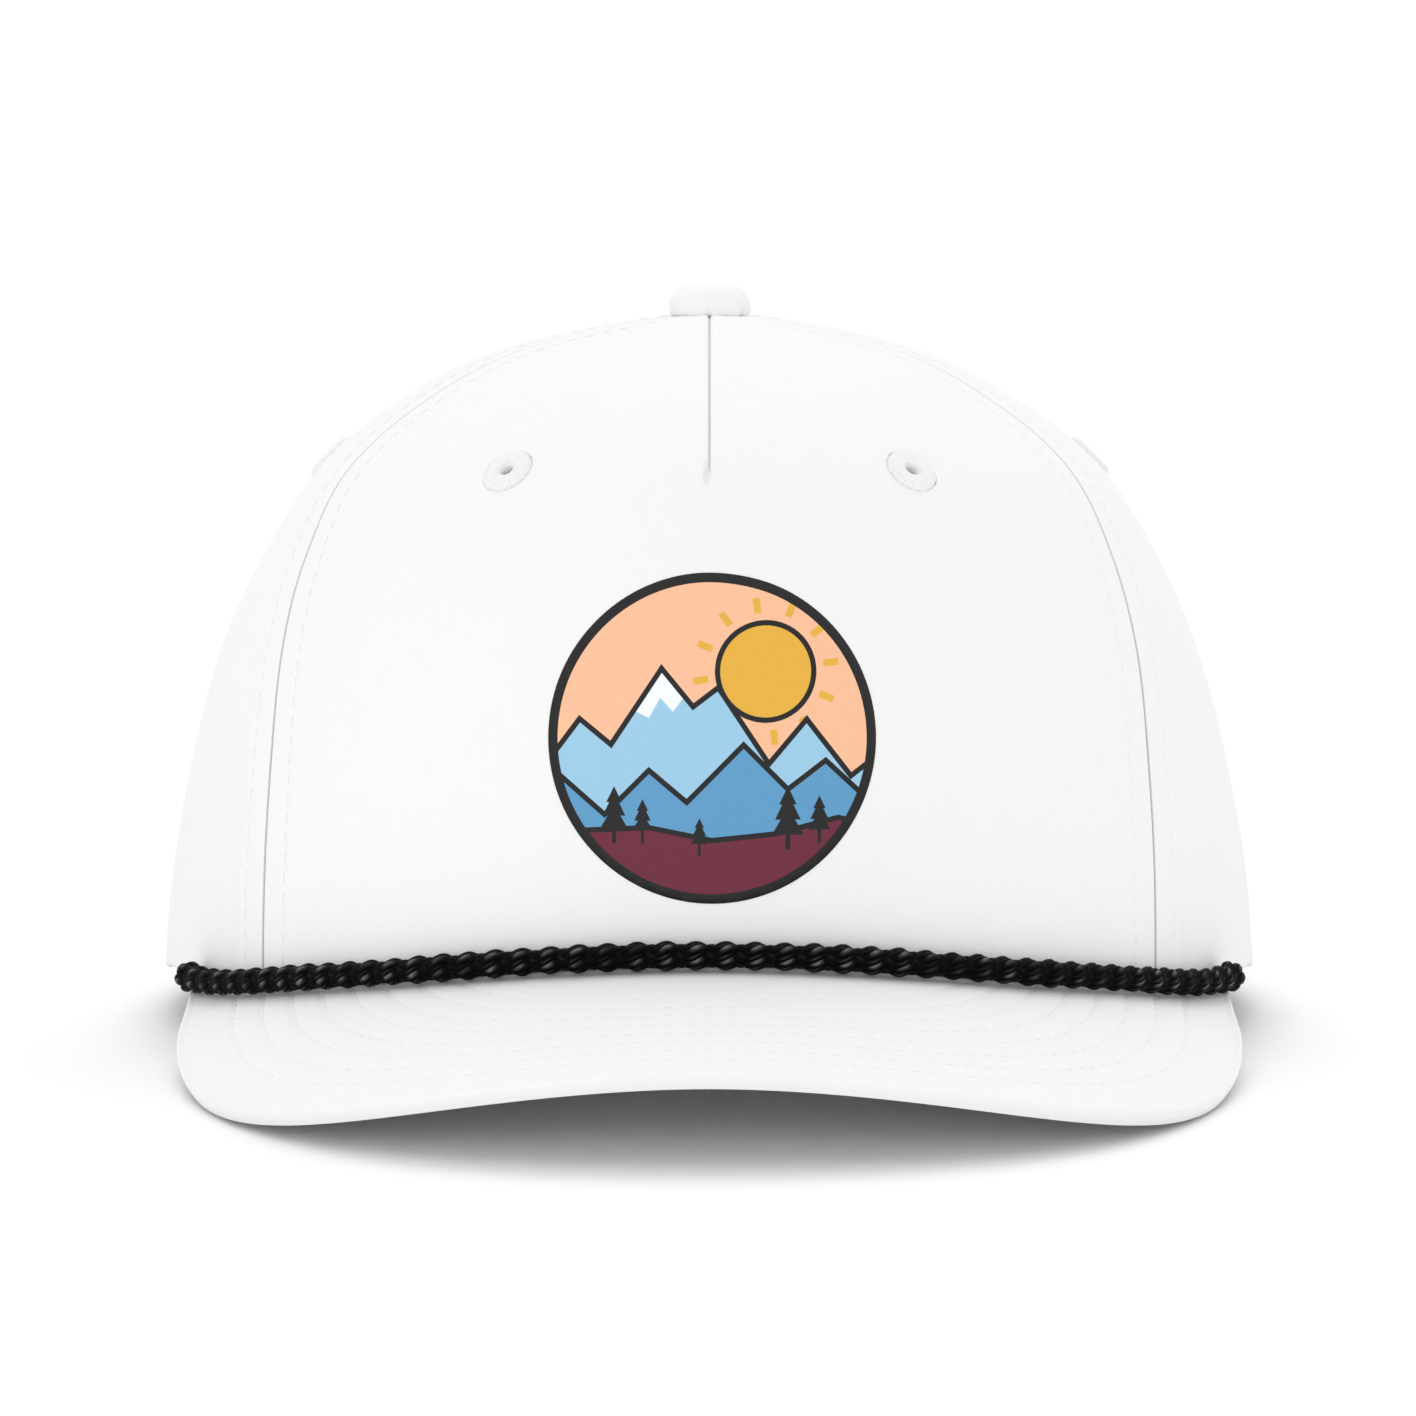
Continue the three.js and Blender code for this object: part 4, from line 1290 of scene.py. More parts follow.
class CAP_OT_crown_panels(bpy.types.Operator):
    """Make the five cloth panels of the crown, with their seams, dart, eyelet holes and back opening"""

    bl_idname = "cap.crown_panels"
    bl_label = "Crown Panels"

    def execute(self, context):
        sizes = context.scene.cap_sizes
        places = eyelet_places()
        front = panel_piece("front_panel_cloth", lambda seam: -seam, lambda seam: seam, 60, sizes, True)
        left = eyelet_cutters(places["eyelet_front_left"], sizes)
        cut(front, left + eyelet_cutters(places["eyelet_front_right"], sizes))
        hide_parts("front_panel")
        for hand, sign in (("left", 1), ("right", -1)):
            edges = [lambda seam, s=sign: seam * s, lambda seam, s=sign: side_seam(seam) * s]
            side = panel_piece(f"side_panel_{hand}_cloth", *edges[::sign], 34, sizes)
            cut(side, eyelet_cutters(places[f"eyelet_side_{hand}"], sizes))
            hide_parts(f"side_panel_{hand}")
            edges = [lambda seam, s=sign: side_seam(seam) * s, lambda seam, s=sign: seam * 0 + 180 * s]
            back = panel_piece(f"back_panel_{hand}_cloth", *edges[::sign], 34, sizes)
            cut(back, [*eyelet_cutters(places[f"eyelet_back_{hand}"], sizes), arch_cutter()])
            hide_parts(f"back_panel_{hand}")
        return {"FINISHED"}


PEAK_COLUMNS = 300
PEAK_ROWS = 112
PEAK_EDGE_STEPS = 12
PEAK_EDGE_BULGE = 1.7
PEAK_EDGE_LEAN = 1.0
PEAK_VALLEY_HALF = 0.6
PEAK_VALLEY_DEPTH = 0.16
PEAK_OUTLINE_ROW = -(PEAK_FIRST_FRONT / PEAK_STEP_FRONT + PEAK_FIRST_SIDE / PEAK_STEP_SIDE) / 2


def peak_family(row):
    """Half width and reach forwards of the curve that a row of the peak's stitching follows."""
    inset = row - PEAK_OUTLINE_ROW
    return PEAK_HALF - PEAK_STEP_SIDE * inset, PEAK_WIDEST - PEAK_FRONT - PEAK_STEP_FRONT * inset


def peak_row_of(x, y):
    """Which row a point of the peak lies on, as a number with a fraction, by halving."""
    low = np.full(np.shape(x), -4.0)
    high = np.full(np.shape(x), 15.0)
    ahead = np.maximum(PEAK_WIDEST - y, 0)
    for _ in range(34):
        middle = (low + high) / 2
        half, reach = peak_family(middle)
        inside = (np.abs(x) / half) ** PEAK_SQUARENESS + (ahead / reach) ** PEAK_SQUARENESS < 1
        low = np.where(inside, middle, low)
        high = np.where(inside, high, middle)
    return low


def peak_relief(x, y):
    """How far the peak's cloth stands proud: valleys along the rows and soft rolls between them."""
    row = peak_row_of(x, y)
    nearest = np.clip(np.round(row), 0, PEAK_ROW_COUNT - 1)
    apart = (row - nearest) * (PEAK_STEP_FRONT + PEAK_STEP_SIDE) / 2
    valley = -PEAK_VALLEY_DEPTH * np.exp(-(apart / PEAK_VALLEY_HALF) ** 2)
    point = np.stack([x, y, np.zeros(np.shape(x))], -1)
    return valley + 0.05 * ripple(point, 31, 1.1) + 0.025 * ripple(point, 9, 0.3)


class CAP_OT_peak(bpy.types.Operator):
    """Make the curved peak: cloth over a board, with a rolled edge and eight stitched channels"""

    bl_idname = "cap.peak"
    bl_label = "Peak"

    def execute(self, context):
        share = np.linspace(-1, 1, PEAK_COLUMNS + 1)
        inner = under_crown(share * PEAK_END_ANGLE, 0, PEAK_TUCK)[:, :2]
        outline = peak_outline(share)
        edge = PEAK_THICK / 2
        # The edge is rolled over the board above and leans back under it below
        turn = np.linspace(math.pi / 2, -math.pi / 2, PEAK_EDGE_STEPS + 2)[1:-1, None, None]
        leaning = 1 - PEAK_EDGE_LEAN * (1 - np.sin(turn)) / 2
        roll = PEAK_EDGE_BULGE * np.cos(turn) ** 0.6 * leaning
        outwards = unit(np.gradient(outline, axis=0) @ np.array(((0.0, -1.0), (1.0, 0.0))))
        outwards = outwards * np.sign((outwards * (outline - inner)).sum(1))[:, None]
        rim = outline - outwards * roll.max()
        steps = np.linspace(0, 1, PEAK_ROWS + 1)[:, None, None]
        flat = inner + (rim - inner) * steps
        x, y = flat[..., 0], flat[..., 1]
        top = peak_top(x, y)
        fade = 1 - smooth(steps[..., 0], 0.97, 1)
        relief = peak_relief(x, y) * fade
        upper = np.stack([x, y, top + relief], -1)
        lower = np.stack([x, y, top - PEAK_THICK - relief], -1)
        rolled = rim + outwards * roll
        middle = peak_top(rim[:, 0], rim[:, 1])[None, :, None] - edge
        height = edge * np.sign(turn) * np.abs(np.sin(turn)) ** 0.8
        around = np.concatenate([rolled, middle + height * np.ones((1, len(share), 1))], -1)
        loops = np.concatenate([upper, around, lower[::-1]]).transpose(1, 0, 2)
        mesh = self.peak_mesh(loops)
        piece = new_object("peak_cloth", mesh, ["white cotton twill"])
        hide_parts("peak")
        return {"FINISHED"}

    @staticmethod
    def peak_mesh(loops):
        """The peak's loops as one mesh, whose two ends are closed between its upper and lower face."""
        columns, around = loops.shape[:2]
        number = np.arange(columns * around).reshape(columns, around)
        faces = tube_quads(number)
        for end in (number[0], number[-1]):
            for row in range(PEAK_ROWS):
                faces.append([end[row], end[row + 1], end[around - 2 - row], end[around - 1 - row]])
            faces.append(list(end[PEAK_ROWS:around - PEAK_ROWS]))
        points = loops.reshape(-1, 3)
        return closed_mesh("peak_cloth", points, faces, points[:, :2])


# Shares of the rope's radius
STRAND_HALF_HIGH = 0.26
STRAND_HALF_WIDE = 0.37
WEAVE_RISE = 0.15
STRAND_LEAD = 0.2
ROPE_CLOSING = 0.7
# The swell at the rope's very end, and what it gains from there
ROPE_END_SWELL = 0.55
ROPE_END_GAIN = 0.45


def rope_line(reach, count):
    """The rope's middle line, against the crown and on the peak, and the crown's direction there."""
    angle = np.linspace(-ROPE_END_ANGLE, ROPE_END_ANGLE, count)
    foot = crown_point(angle, 0)
    level = (peak_top(foot[:, 0], foot[:, 1]) + reach) / FIRST_STEP
    middle = under_crown(angle, level, -reach)
    x, y = middle[:, 0], middle[:, 1]
    slope, _ = peak_slopes(x, y)
    middle[:, 2] = peak_top(x, y) + reach * np.hypot(np.hypot(1, slope), PEAK_FALL)
    return middle, crown_normal(angle, level)


class CAP_OT_rope(bpy.types.Operator):
    """Make the black braided rope along the joint of crown and peak"""

    bl_idname = "cap.rope"
    bl_label = "Braided Rope"

    def execute(self, context):
        sizes = context.scene.cap_sizes
        radius = sizes.braid / MM / 2
        line, outward = rope_line(radius + CLEAR, 240)
        step = np.linalg.norm(np.diff(line, axis=0), axis=1)
        along = np.pad(np.cumsum(step), (1, 0))
        from_end = np.minimum(along, along[-1] - along)
        # The cut ends spread a little before they close; the rope is fullest at the middle
        middle = np.abs(along / along[-1] - 0.5) * 2
        swell = 1 - 0.05 * smooth(middle, 0.1, 0.75) + 0.13 * smooth(middle, 0.92, 0.98)
        uneven = 0.022 * np.sin(along / 5.3 + 0.8) + 0.016 * np.sin(along / 2.1 + 2.0)
        swell = swell + uneven * (1 - smooth(middle, 0.85, 0.92))
        closing = np.minimum(from_end / (radius * ROPE_CLOSING), 1)
        swell = swell * (ROPE_END_SWELL + ROPE_END_GAIN * np.sqrt(1 - (1 - closing) ** 2))
        mesh = line_mesh("rope_path", [(line, outward)])
        mesh.attributes.new("swell", "FLOAT", "POINT").data.foreach_set("value", swell)
        half_high = STRAND_HALF_HIGH * radius * MM
        weave = WEAVE_RISE * radius * MM
        lead = STRAND_LEAD * radius * MM
        piece = tree_result("braided_rope", mesh, braid_tree(), {
            "Pitch": sizes.braid_pitch, "Strand ring": radius * MM - half_high - weave - lead / 2,
            "Weave height": weave, "Lead": lead,
            "Strand half width": STRAND_HALF_WIDE * radius * MM, "Strand half height": half_high,
        }, "black braided polyester")
        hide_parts("rope")
        return {"FINISHED"}


BUTTON_EDGE = 1.7
DOME_STRETCH = 1.15


class CAP_OT_button(bpy.types.Operator):
    """Make the covered button on top and the rivet that holds it"""

    bl_idname = "cap.button"
    bl_label = "Covered Button"

    def execute(self, context):
        sizes = context.scene.cap_sizes
        radius = sizes.button / MM / 2
        high = sizes.button_height / MM
        under = CROWN_TOP + CLEAR
        inside = CROWN_TOP - sizes.wall / MM - CLEAR
        around = 120
        turn = all_round(around)
        dome = np.linspace(0, math.pi / 2, 26)[:-1]
        edge = BUTTON_EDGE
        profile = [(0.01, inside - RIVET_THICK), (RIVET_RADIUS - 0.3, inside - RIVET_THICK)]
        profile += [(RIVET_RADIUS, inside - RIVET_THICK / 2), (RIVET_RADIUS - 0.2, inside - CLEAR)]
        profile += [(SHANK_RADIUS, inside), (SHANK_RADIUS, under + 0.05)]
        rivet_rows = len(profile)
        profile += [(radius * 0.6, under - 0.15), (radius * 0.85, under - 0.3), (radius * 0.94, under - 0.1)]
        profile += [(radius * 0.985, under + 0.35), (radius, under + 0.9)]
        profile += [(radius * math.cos(t) ** 0.6, under + edge + (high - edge) * math.sin(t)) for t in dome]
        profile.append((0.01, under + high))
        profile = np.array(profile)
        rows = len(profile)
        loops = np.zeros((rows, around, 3))
        gathers = 0.16 * np.sin(turn * 17 + 0.6) + 0.1 * np.sin(turn * 29) + 0.08 * np.sin(turn * 7 + 2)
        for row, (r, z) in enumerate(profile):
            skirt = math.exp(-((z - under - 0.2) / 0.9) ** 2) if row >= rivet_rows else 0
            reach = r + gathers * skirt * min(r / radius, 1)
            loops[row] = np.stack([reach * np.cos(turn), reach * np.sin(turn), z + 0 * turn], -1)
            loops[row, :, 2] += skirt * 0.12 * np.sin(turn * 11 + 1) * (r / radius)
        kinds = np.zeros((rows - 1) * around + 2, int)
        kinds[:(rivet_rows - 1) * around] = 1
        kinds[-2] = 1
        mesh = sweep_mesh("covered_button", loops, kinds, crease=50)
        # Mapped from above, so its weave runs straight over the dome
        map_points(mesh, loops.reshape(-1, 3)[:, :2] * DOME_STRETCH)
        piece = new_object("covered_button", mesh, ["white cotton twill", "enamelled rivet"])
        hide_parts("button")
        return {"FINISHED"}


EYELET_THREAD = 0.56


class CAP_OT_eyelets(bpy.types.Operator):
    """Make the six eyelets: a ring of satin-stitched thread round each hole"""

    bl_idname = "cap.eyelets"
    bl_label = "Stitched Eyelets"

    def execute(self, context):
        sizes = context.scene.cap_sizes
        outer = sizes.eyelet / MM / 2
        hole = sizes.eyelet_hole / MM / 2
        inner_face = -sizes.wall / MM
        # One thread: up through the hole, over the padded ring, down at its outside, and back under
        spine = np.array([
            (outer * 0.8, inner_face - 0.1), (hole + 0.7, inner_face - 0.45),
            (hole + 0.12, inner_face - 0.1), (hole + 0.05, -0.7), (hole + 0.16, 0.1), (hole + 0.6, 0.42),
            (hole + 1.3, 0.5), (outer - 0.9, 0.45), (outer - 0.35, 0.26), (outer - 0.16, -0.15),
            (outer - 0.2, -0.75),
        ])
        tree = eyelet_tree()
        for number, (node, angle) in enumerate(eyelet_places().items()):
            mesh = bpy.data.meshes.new(node)
            points = [(x * MM, 0, z * MM) for x, z in spine]
            mesh.from_pydata(points, [(i, i + 1) for i in range(len(points) - 1)], [])
            piece = tree_result(f"{node}_threads", mesh, tree, {
                "Threads": sizes.eyelet_threads, "Thread": EYELET_THREAD * MM, "Seed": number + 3,
            }, "spun polyester thread")
            self.stand(piece.data, angle, sizes)
            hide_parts(node)
        return {"FINISHED"}

    @staticmethod
    def stand(mesh, angle, sizes):
        """Moves a ring made round +Z to its place on the crown."""
        centre = to_rest(cloth_point(angle, EYELET_LEVEL, 0, sizes))
        outward = turn_to_rest(crown_normal(angle, EYELET_LEVEL))
        turn = Vector((0, 0, 1)).rotation_difference(Vector(outward)).to_matrix().to_4x4()
        mesh.transform(turn)
        mesh.transform(turn.Translation(Vector(centre)))


STITCH_LIFT = 0.02
TOP_ROW_RADIUS = 7.8
ARCH_TO_ROW = 7.5
FIRST_STITCH_LEVEL = 0.35
RIM_ROW_HEIGHT = 3.4
PEAK_ROW_LEG = 24


def crown_row(name, side, off, sizes, start_level, end_level):
    """A row of topstitching beside a seam: its points and the cloth's direction."""
    level = np.linspace(start_level, end_level, 260)
    angle = SEAMS[name](section(level)[4]) + side * row_distance(off, level) / seam_scale(name, level)
    return cloth_point(angle, level, STITCH_LIFT, sizes), crown_normal(angle, level)


class CAP_OT_topstitching(bpy.types.Operator):
    """Sew the rows beside the crown's seams, round the rim and on both faces of the peak"""

    bl_idname = "cap.topstitching"
    bl_label = "Topstitching"

    def execute(self, context):
        sizes = context.scene.cap_sizes
        off = sizes.topstitch / MM
        levels = np.linspace(len(SECTIONS) - 1, len(SECTIONS) - 3, 200)
        top = float(np.interp(TOP_ROW_RADIUS, section(levels)[1], levels))
        lines = []
        for name in SEAMS:
            start = float(level_of(ARCH_TOP + ARCH_TO_ROW)) if name == "rear" else FIRST_STITCH_LEVEL
            for side in (-1, 1):
                lines.append(crown_row(name, side, off, sizes, start, top))
        stitch_piece("seam_topstitching", lines, sizes, 11, rise=0.3)
        stitch_piece("rim_stitching", self.rim_rows(sizes), sizes, 12)
        stitch_piece("peak_stitching", self.peak_rows(), sizes, 13, rise=0.1)
        return {"FINISHED"}

    @staticmethod
    def rim_rows(sizes):
        """The row that holds the sweatband, above the rim from the peak to the back opening."""
        rows = []
        for sign in (1, -1):
            angle = sign * np.linspace(PEAK_END_ANGLE + RIM_BLEND_ANGLE, BAND_END_ANGLE - 3, 200)
            level = (rim_height(angle, crown_point(angle, 0)) + RIM_ROW_HEIGHT) / FIRST_STEP
            rows.append((cloth_point(angle, level, STITCH_LIFT, sizes), crown_normal(angle, level)))
        return rows

    @staticmethod
    def peak_rows():
        """The peak's eight rows on both faces, each with a straight leg back to the crown at its ends."""
        rows = []
        for row in range(PEAK_ROW_COUNT):
            half, reach = peak_family(row)
            turn = np.linspace(-math.pi / 2, math.pi / 2, 400)
            power = 2 / PEAK_SQUARENESS
            x = half * np.sign(turn) * np.abs(np.sin(turn)) ** power
            y = PEAK_WIDEST - reach * np.cos(turn) ** power
            leg = np.linspace(PEAK_ROW_LEG, 0.5, 30)
            x = np.concatenate([np.full(len(leg), -half), x, np.full(len(leg), half)])
            y = np.concatenate([PEAK_WIDEST + leg, y, PEAK_WIDEST + leg[::-1]])
            outside = (x / (RIM_SIDE + 1)) ** 2 + (y / (RIM_FRONT + 1)) ** 2 > 1
            x, y = x[outside], y[outside]
            relief = peak_relief(x, y)
            top = peak_top(x, y)
            side, back = peak_slopes(x, y)
            upward = unit(np.stack([-side, -back, np.ones(len(x))], -1))
            rows.append((np.stack([x, y, top + relief + STITCH_LIFT], -1), upward))
            rows.append((np.stack([x, y, top - PEAK_THICK - relief - STITCH_LIFT], -1), -upward))
        return rows


BINDING_WIDE = 6.5
BINDING_THICK = 0.5
BINDING_GAP = 0.1
BINDING_FOLD = 0.75


class CAP_OT_back_opening(bpy.types.Operator):
    """Bind the edge of the back opening with folded tape and sew it down"""

    bl_idname = "cap.back_opening"
    bl_label = "Back Opening"

    def execute(self, context):
        sizes = context.scene.cap_sizes
        wall = sizes.wall / MM
        line, away = arch_outline(90)
        line[:, 1] = np.maximum(line[:, 1], self.foot_height(line))
        near, thick = BINDING_GAP, BINDING_THICK
        width = np.array((0.0, 0.6, 1.3, 2.0, 2.7, 3.6, 4.6, 5.4, 6.0, BINDING_WIDE))
        top = near + thick * np.array((1, 1, 0.96, 0.8, 0.96, 1, 1, 0.96, 0.85, 0.55))
        turn = np.linspace(0, math.pi, 9)[1:-1]
        middle = -wall / 2
        outer = middle - near - thick
        section_points = [(w, t) for w, t in zip(width[::-1], top[::-1])]
        section_points += [(-BINDING_FOLD * math.sin(t), middle - outer * math.cos(t)) for t in turn]
        section_points += [(w, -wall - t) for w, t in zip(width, top)]
        section_points += [(w, -wall - near) for w in width[::-1]]
        section_points += [(-0.1, middle)]
        section_points += [(w, near) for w in width]
        loops = np.stack([self.on_cloth(line + away * w, lift) for w, lift in section_points], 1)
        mesh = sweep_mesh("opening_binding", loops, crease=60)
        new_object("opening_binding", mesh, ["white cotton twill"])
        rows = []
        for off, lift in ((2.0, near + thick * 0.82), (5.4, near + thick)):
            place = line + away * off
            place = place[place[:, 1] > 3]
            angle, level = rear_place(place[:, 0], place[:, 1])
            rows.append((self.on_cloth(place, lift), crown_normal(angle, level)))
        stitch_piece("opening_stitching", rows, sizes, 21)
        return {"FINISHED"}

    @staticmethod
    def foot_height(line):
        """The rim's height below each point of the opening's edge."""
        angle = rear_angle(line[:, 0])
        return rim_height(angle, crown_point(angle, 0)) + 0.2

    @staticmethod
    def on_cloth(place, lift):
        """Points on the cloth beside the opening, or lift millimetres above it."""
        angle, level = rear_place(place[:, 0], np.maximum(place[:, 1], 0.2))
        relief = (WAVES + MORE_WAVES) * ripple(crown_point(angle, level), WAVE_LENGTH, WAVE_PHASE)
        return under_crown(angle, level, -lift - relief)


BAND_THICK = 1.2
BAND_ROUND = 0.57
BAND_ROUND_SHARE = 0.025
# Its two rows of stitches: below its upper edge and above its lower one
BAND_UPPER_ROW = 3
BAND_LOWER_ROW = 4.5
BAND_VALLEY_HALF = 0.7


class CAP_OT_sweatband(bpy.types.Operator):
    """Make the soft band inside the rim, with its folded edges and its stitching"""

    bl_idname = "cap.sweatband"
    bl_label = "Sweatband"

    def execute(self, context):
        sizes = context.scene.cap_sizes
        share = np.linspace(-1, 1, 361)
        ends = ((0, 0.004, 0.012, 0.025), (0.975, 0.988, 0.996, 1))
        rows = np.concatenate([ends[0], np.linspace(0.05, 0.95, 30), ends[1]])
        angle = np.broadcast_to(share * BAND_END_ANGLE, (len(rows), len(share)))
        rise = np.broadcast_to(rows[:, None] * SWEATBAND_HEIGHT, angle.shape)
        edge = np.minimum(rows, 1 - rows)[:, None]
        rounded = BAND_ROUND * rolled_edge(edge / BAND_ROUND_SHARE)
        outside = self.band_grid(angle, rise, rounded, sizes)
        stitched = 0.25 * np.exp(-((rise - SWEATBAND_HEIGHT + BAND_UPPER_ROW) / BAND_VALLEY_HALF) ** 2)
        stitched = stitched + 0.2 * np.exp(-((rise - BAND_LOWER_ROW) / BAND_VALLEY_HALF) ** 2)
        inside = self.band_grid(angle, rise, BAND_THICK - rounded - stitched, sizes)
        mesh = slab_mesh("sweatband_twill", outside, inside)
        piece = new_object("sweatband_twill", mesh, ["brushed cotton band"] * 2)
        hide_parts("sweatband")
        rows = []
        for height in (SWEATBAND_HEIGHT - BAND_UPPER_ROW, BAND_LOWER_ROW):
            line_angle = np.linspace(-BAND_END_ANGLE + 1, BAND_END_ANGLE - 1, 400)
            place = self.band_grid(line_angle, np.full(400, float(height)), 1.0, sizes)
            level = level_of(np.maximum(place[:, 2], 0.1))
            rows.append((place, -crown_normal(line_angle, level)))
        stitch_piece("sweatband_stitching", rows, sizes, 31)
        return {"FINISHED"}

    @staticmethod
    def band_grid(angle, rise, depth, sizes):
        """Points of the band; near its ends it steps inwards to pass the strap's ends."""
        over = STRAP_THICK + CLEAR
        step_from, step_to = STRAP_END_ANGLE - BAND_STEP_FROM, STRAP_END_ANGLE - BAND_STEP_TO
        on_strap = smooth(np.abs(angle), step_from, step_to)
        inwards = sizes.wall / MM + SWEATBAND_CLEAR + over * on_strap + depth
        rim = rim_height(angle, under_crown(angle, 0, inwards))
        point = under_crown(angle, level_of(rim + rise), inwards)
        point[..., 2] = rim_height(angle, point) + rise
        return point


STRAP_OVERLAP = 30.0
STRAP_LAYER = 0.72
STRAP_CORNER = 6.0
# The raised border: how high it stands, and from where to where it falls, from the edge
BORDER_RISE = 0.12
BORDER_FLAT = 1.1
BORDER_END = 1.6
SNAP_COUNT = 7
POST_HEIGHT = 2.1
HOLE_ROOM = 0.25


def strap_layer(name, from_x, to_x, depth, free_end):
    """One half of the strap: a thin moulded band with a raised border and one rounded free end."""
    columns, rows = 150, 24
    x = np.linspace(from_x, to_x, columns)
    angle = rear_angle(x)
    across = np.linspace(-1, 1, rows)[:, None]
    to_end = np.abs(x - free_end)
    corner = np.maximum(STRAP_CORNER - to_end, 0)
    cut_off = STRAP_CORNER - np.sqrt(np.maximum(STRAP_CORNER ** 2 - corner ** 2, 0))
    half = (STRAP_HEIGHT - CLEAR) / 2 - cut_off
    rise = STRAP_HEIGHT / 2 + across * np.maximum(half, 0.5)
    border = smooth(np.abs(across) * half, half - BORDER_END, half - BORDER_FLAT) * BORDER_RISE
    at_end = BORDER_RISE * (1 - smooth(to_end, BORDER_FLAT, BORDER_END)) * np.ones((rows, 1))
    border = np.maximum(border, at_end)
    grids = []
    for inwards in (depth - border + BORDER_RISE, depth + STRAP_LAYER):
        inwards = np.broadcast_to(inwards, rise.shape)
        grid = under_crown(np.broadcast_to(angle, rise.shape), level_of(rise), inwards)
        grid[..., 2] = stand_height(grid[..., 1]) + rise
        grids.append(grid)
    return new_object(name, slab_mesh(name, *grids), ["moulded snap plastic"] * 2)


class CAP_OT_snap_strap(bpy.types.Operator):
    """Make the two halves of the snap strap: holes in the outer one, posts on the inner one"""

    bl_idname = "cap.snap_strap"
    bl_label = "Snap Strap"

    def execute(self, context):
        sizes = context.scene.cap_sizes
        reach = ARCH_HALF + STRAP_TUCK
        depth = sizes.wall / MM + CLEAR
        inner_depth = depth + STRAP_THICK - STRAP_LAYER
        outer = strap_layer("snap_strap_outer", reach, -STRAP_OVERLAP, depth - 0.1, -STRAP_OVERLAP)
        inner = strap_layer("snap_strap_inner", -reach, STRAP_OVERLAP, inner_depth, STRAP_OVERLAP)
        pitch = sizes.snap_pitch / MM
        first = -STRAP_OVERLAP + STRAP_CORNER - 0.5
        hole_x = first + pitch * np.arange(SNAP_COUNT)
        post_x = first + pitch * np.arange(-1, SNAP_COUNT - 1)
        cut(outer, [self.hole(x, depth, sizes) for x in hole_x])
        points, outward = self.places(post_x, inner_depth)
        mesh = line_mesh("snap_posts", [(points, outward)])
        tree_result("snap_posts", mesh, post_tree(), {
            "Width": sizes.snap_post, "Height": POST_HEIGHT * MM,
        }, "moulded snap plastic")
        for half in (outer, inner):
            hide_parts("back_strap")
        return {"FINISHED"}

    @staticmethod
    def places(x, depth):
        """Points on the strap's middle line at a depth under the crown, and the way out of it."""
        angle = rear_angle(np.asarray(x, float))
        level = level_of(np.full(len(angle), STRAP_HEIGHT / 2))
        point = under_crown(angle, level, depth)
        point[:, 2] = stand_height(point[:, 1]) + STRAP_HEIGHT / 2
        return point, crown_normal(angle, level)

    def hole(self, x, depth, sizes):
        point, outward = self.places([x], depth)
        return round_cutter(point[0], outward[0], sizes.snap_post / MM / 2 + HOLE_ROOM, 2.5, 36)


def circle(x, y, radius, count=96):
    """A circle's points, as a closed outline."""
    turn = all_round(count)
    return np.stack([x + radius * np.cos(turn), y + radius * np.sin(turn)], -1)


def ribbon(points, width):
    """A line drawn with some width, as a closed outline with mitred corners."""
    points = np.asarray(points, float)
    step = unit(np.diff(points, axis=0))
    normal = np.stack([-step[:, 1], step[:, 0]], -1)
    joint = unit(np.vstack([normal[:1], normal[:-1] + normal[1:], normal[-1:]]))
    bend = np.concatenate([[1], np.maximum((joint[1:-1] * normal[1:]).sum(1), 0.4), [1]])
    off = joint * (width / 2 / bend)[:, None]
    return np.concatenate([points + off, (points - off)[::-1]])


def with_steps(outline, step):
    """The same closed outline with no edge longer than a step, so that it can follow a curved cloth."""
    points = []
    for start, end in zip(outline, np.roll(outline, -1, axis=0)):
        count = max(1, math.ceil(np.linalg.norm(end - start) / step))
        points += [start + (end - start) * part / count for part in range(count)]
    return np.array(points)


def under_line(points, low):
    """The area below a line, down to a level."""
    points = np.asarray(points, float)
    return np.vstack([points, (points[-1, 0], low), (points[0, 0], low)])


# The print's lines, in millimetres from its middle; a pine is its foot and its height
FAR_HILLS = ((-30, -9), (-21, 3), (-16, -1), (-8, 11), (-3, 5), (1, 8), (9, -4), (15, 3), (22, -6), (30, 0))
FAR_SNOW = ((-12.4, 4.4), (-8, 11), (-4.4, 6.6), (-6.2, 4.2), (-8.2, 6.4), (-10, 3.2))
NEAR_HILLS = (
    (-30, -12), (-24, -6), (-17, -12), (-10, -5), (-4, -10),
    (5, -1), (12, -8), (18, -3.5), (25, -10), (30, -8),
)
GROUND = ((-30, -17), (-20, -14.5), (-10, -14), (0, -16), (10, -15), (20, -12.5), (30, -15))
PINES = ((-15.5, -15, 7.5), (-11, -15, 5.5), (12, -16, 8.5), (17, -15, 6), (-2, -17, 4.5))
SUN = (8.5, 10.5, 7.2)
RAY_COUNT = 12
RAY_WIDE = 1.1
PRINT_RING = 1.5
PRINT_LINE = 0.85
PRINT_STEP = 1.2
PRINT_LOW = -30


def pine(x, y, height):
    """A small fir of three tiers."""
    half = height * 0.3
    tiers = [(half, 0.1), (half * 0.45, 0.38), (half * 0.8, 0.38)]
    tiers += [(half * 0.35, 0.66), (half * 0.55, 0.66), (0, 1)]
    right = [(x + wide, y + height * up) for wide, up in tiers]
    left = [(x - wide, y + height * up) for wide, up in tiers[-2::-1]]
    trunk = half * 0.15
    foot = [(x - trunk, y + height * 0.1), (x - trunk, y - 1.5)]
    return np.array([(x + trunk, y - 1.5), (x + trunk, y + height * 0.1), *right, *left, *foot])


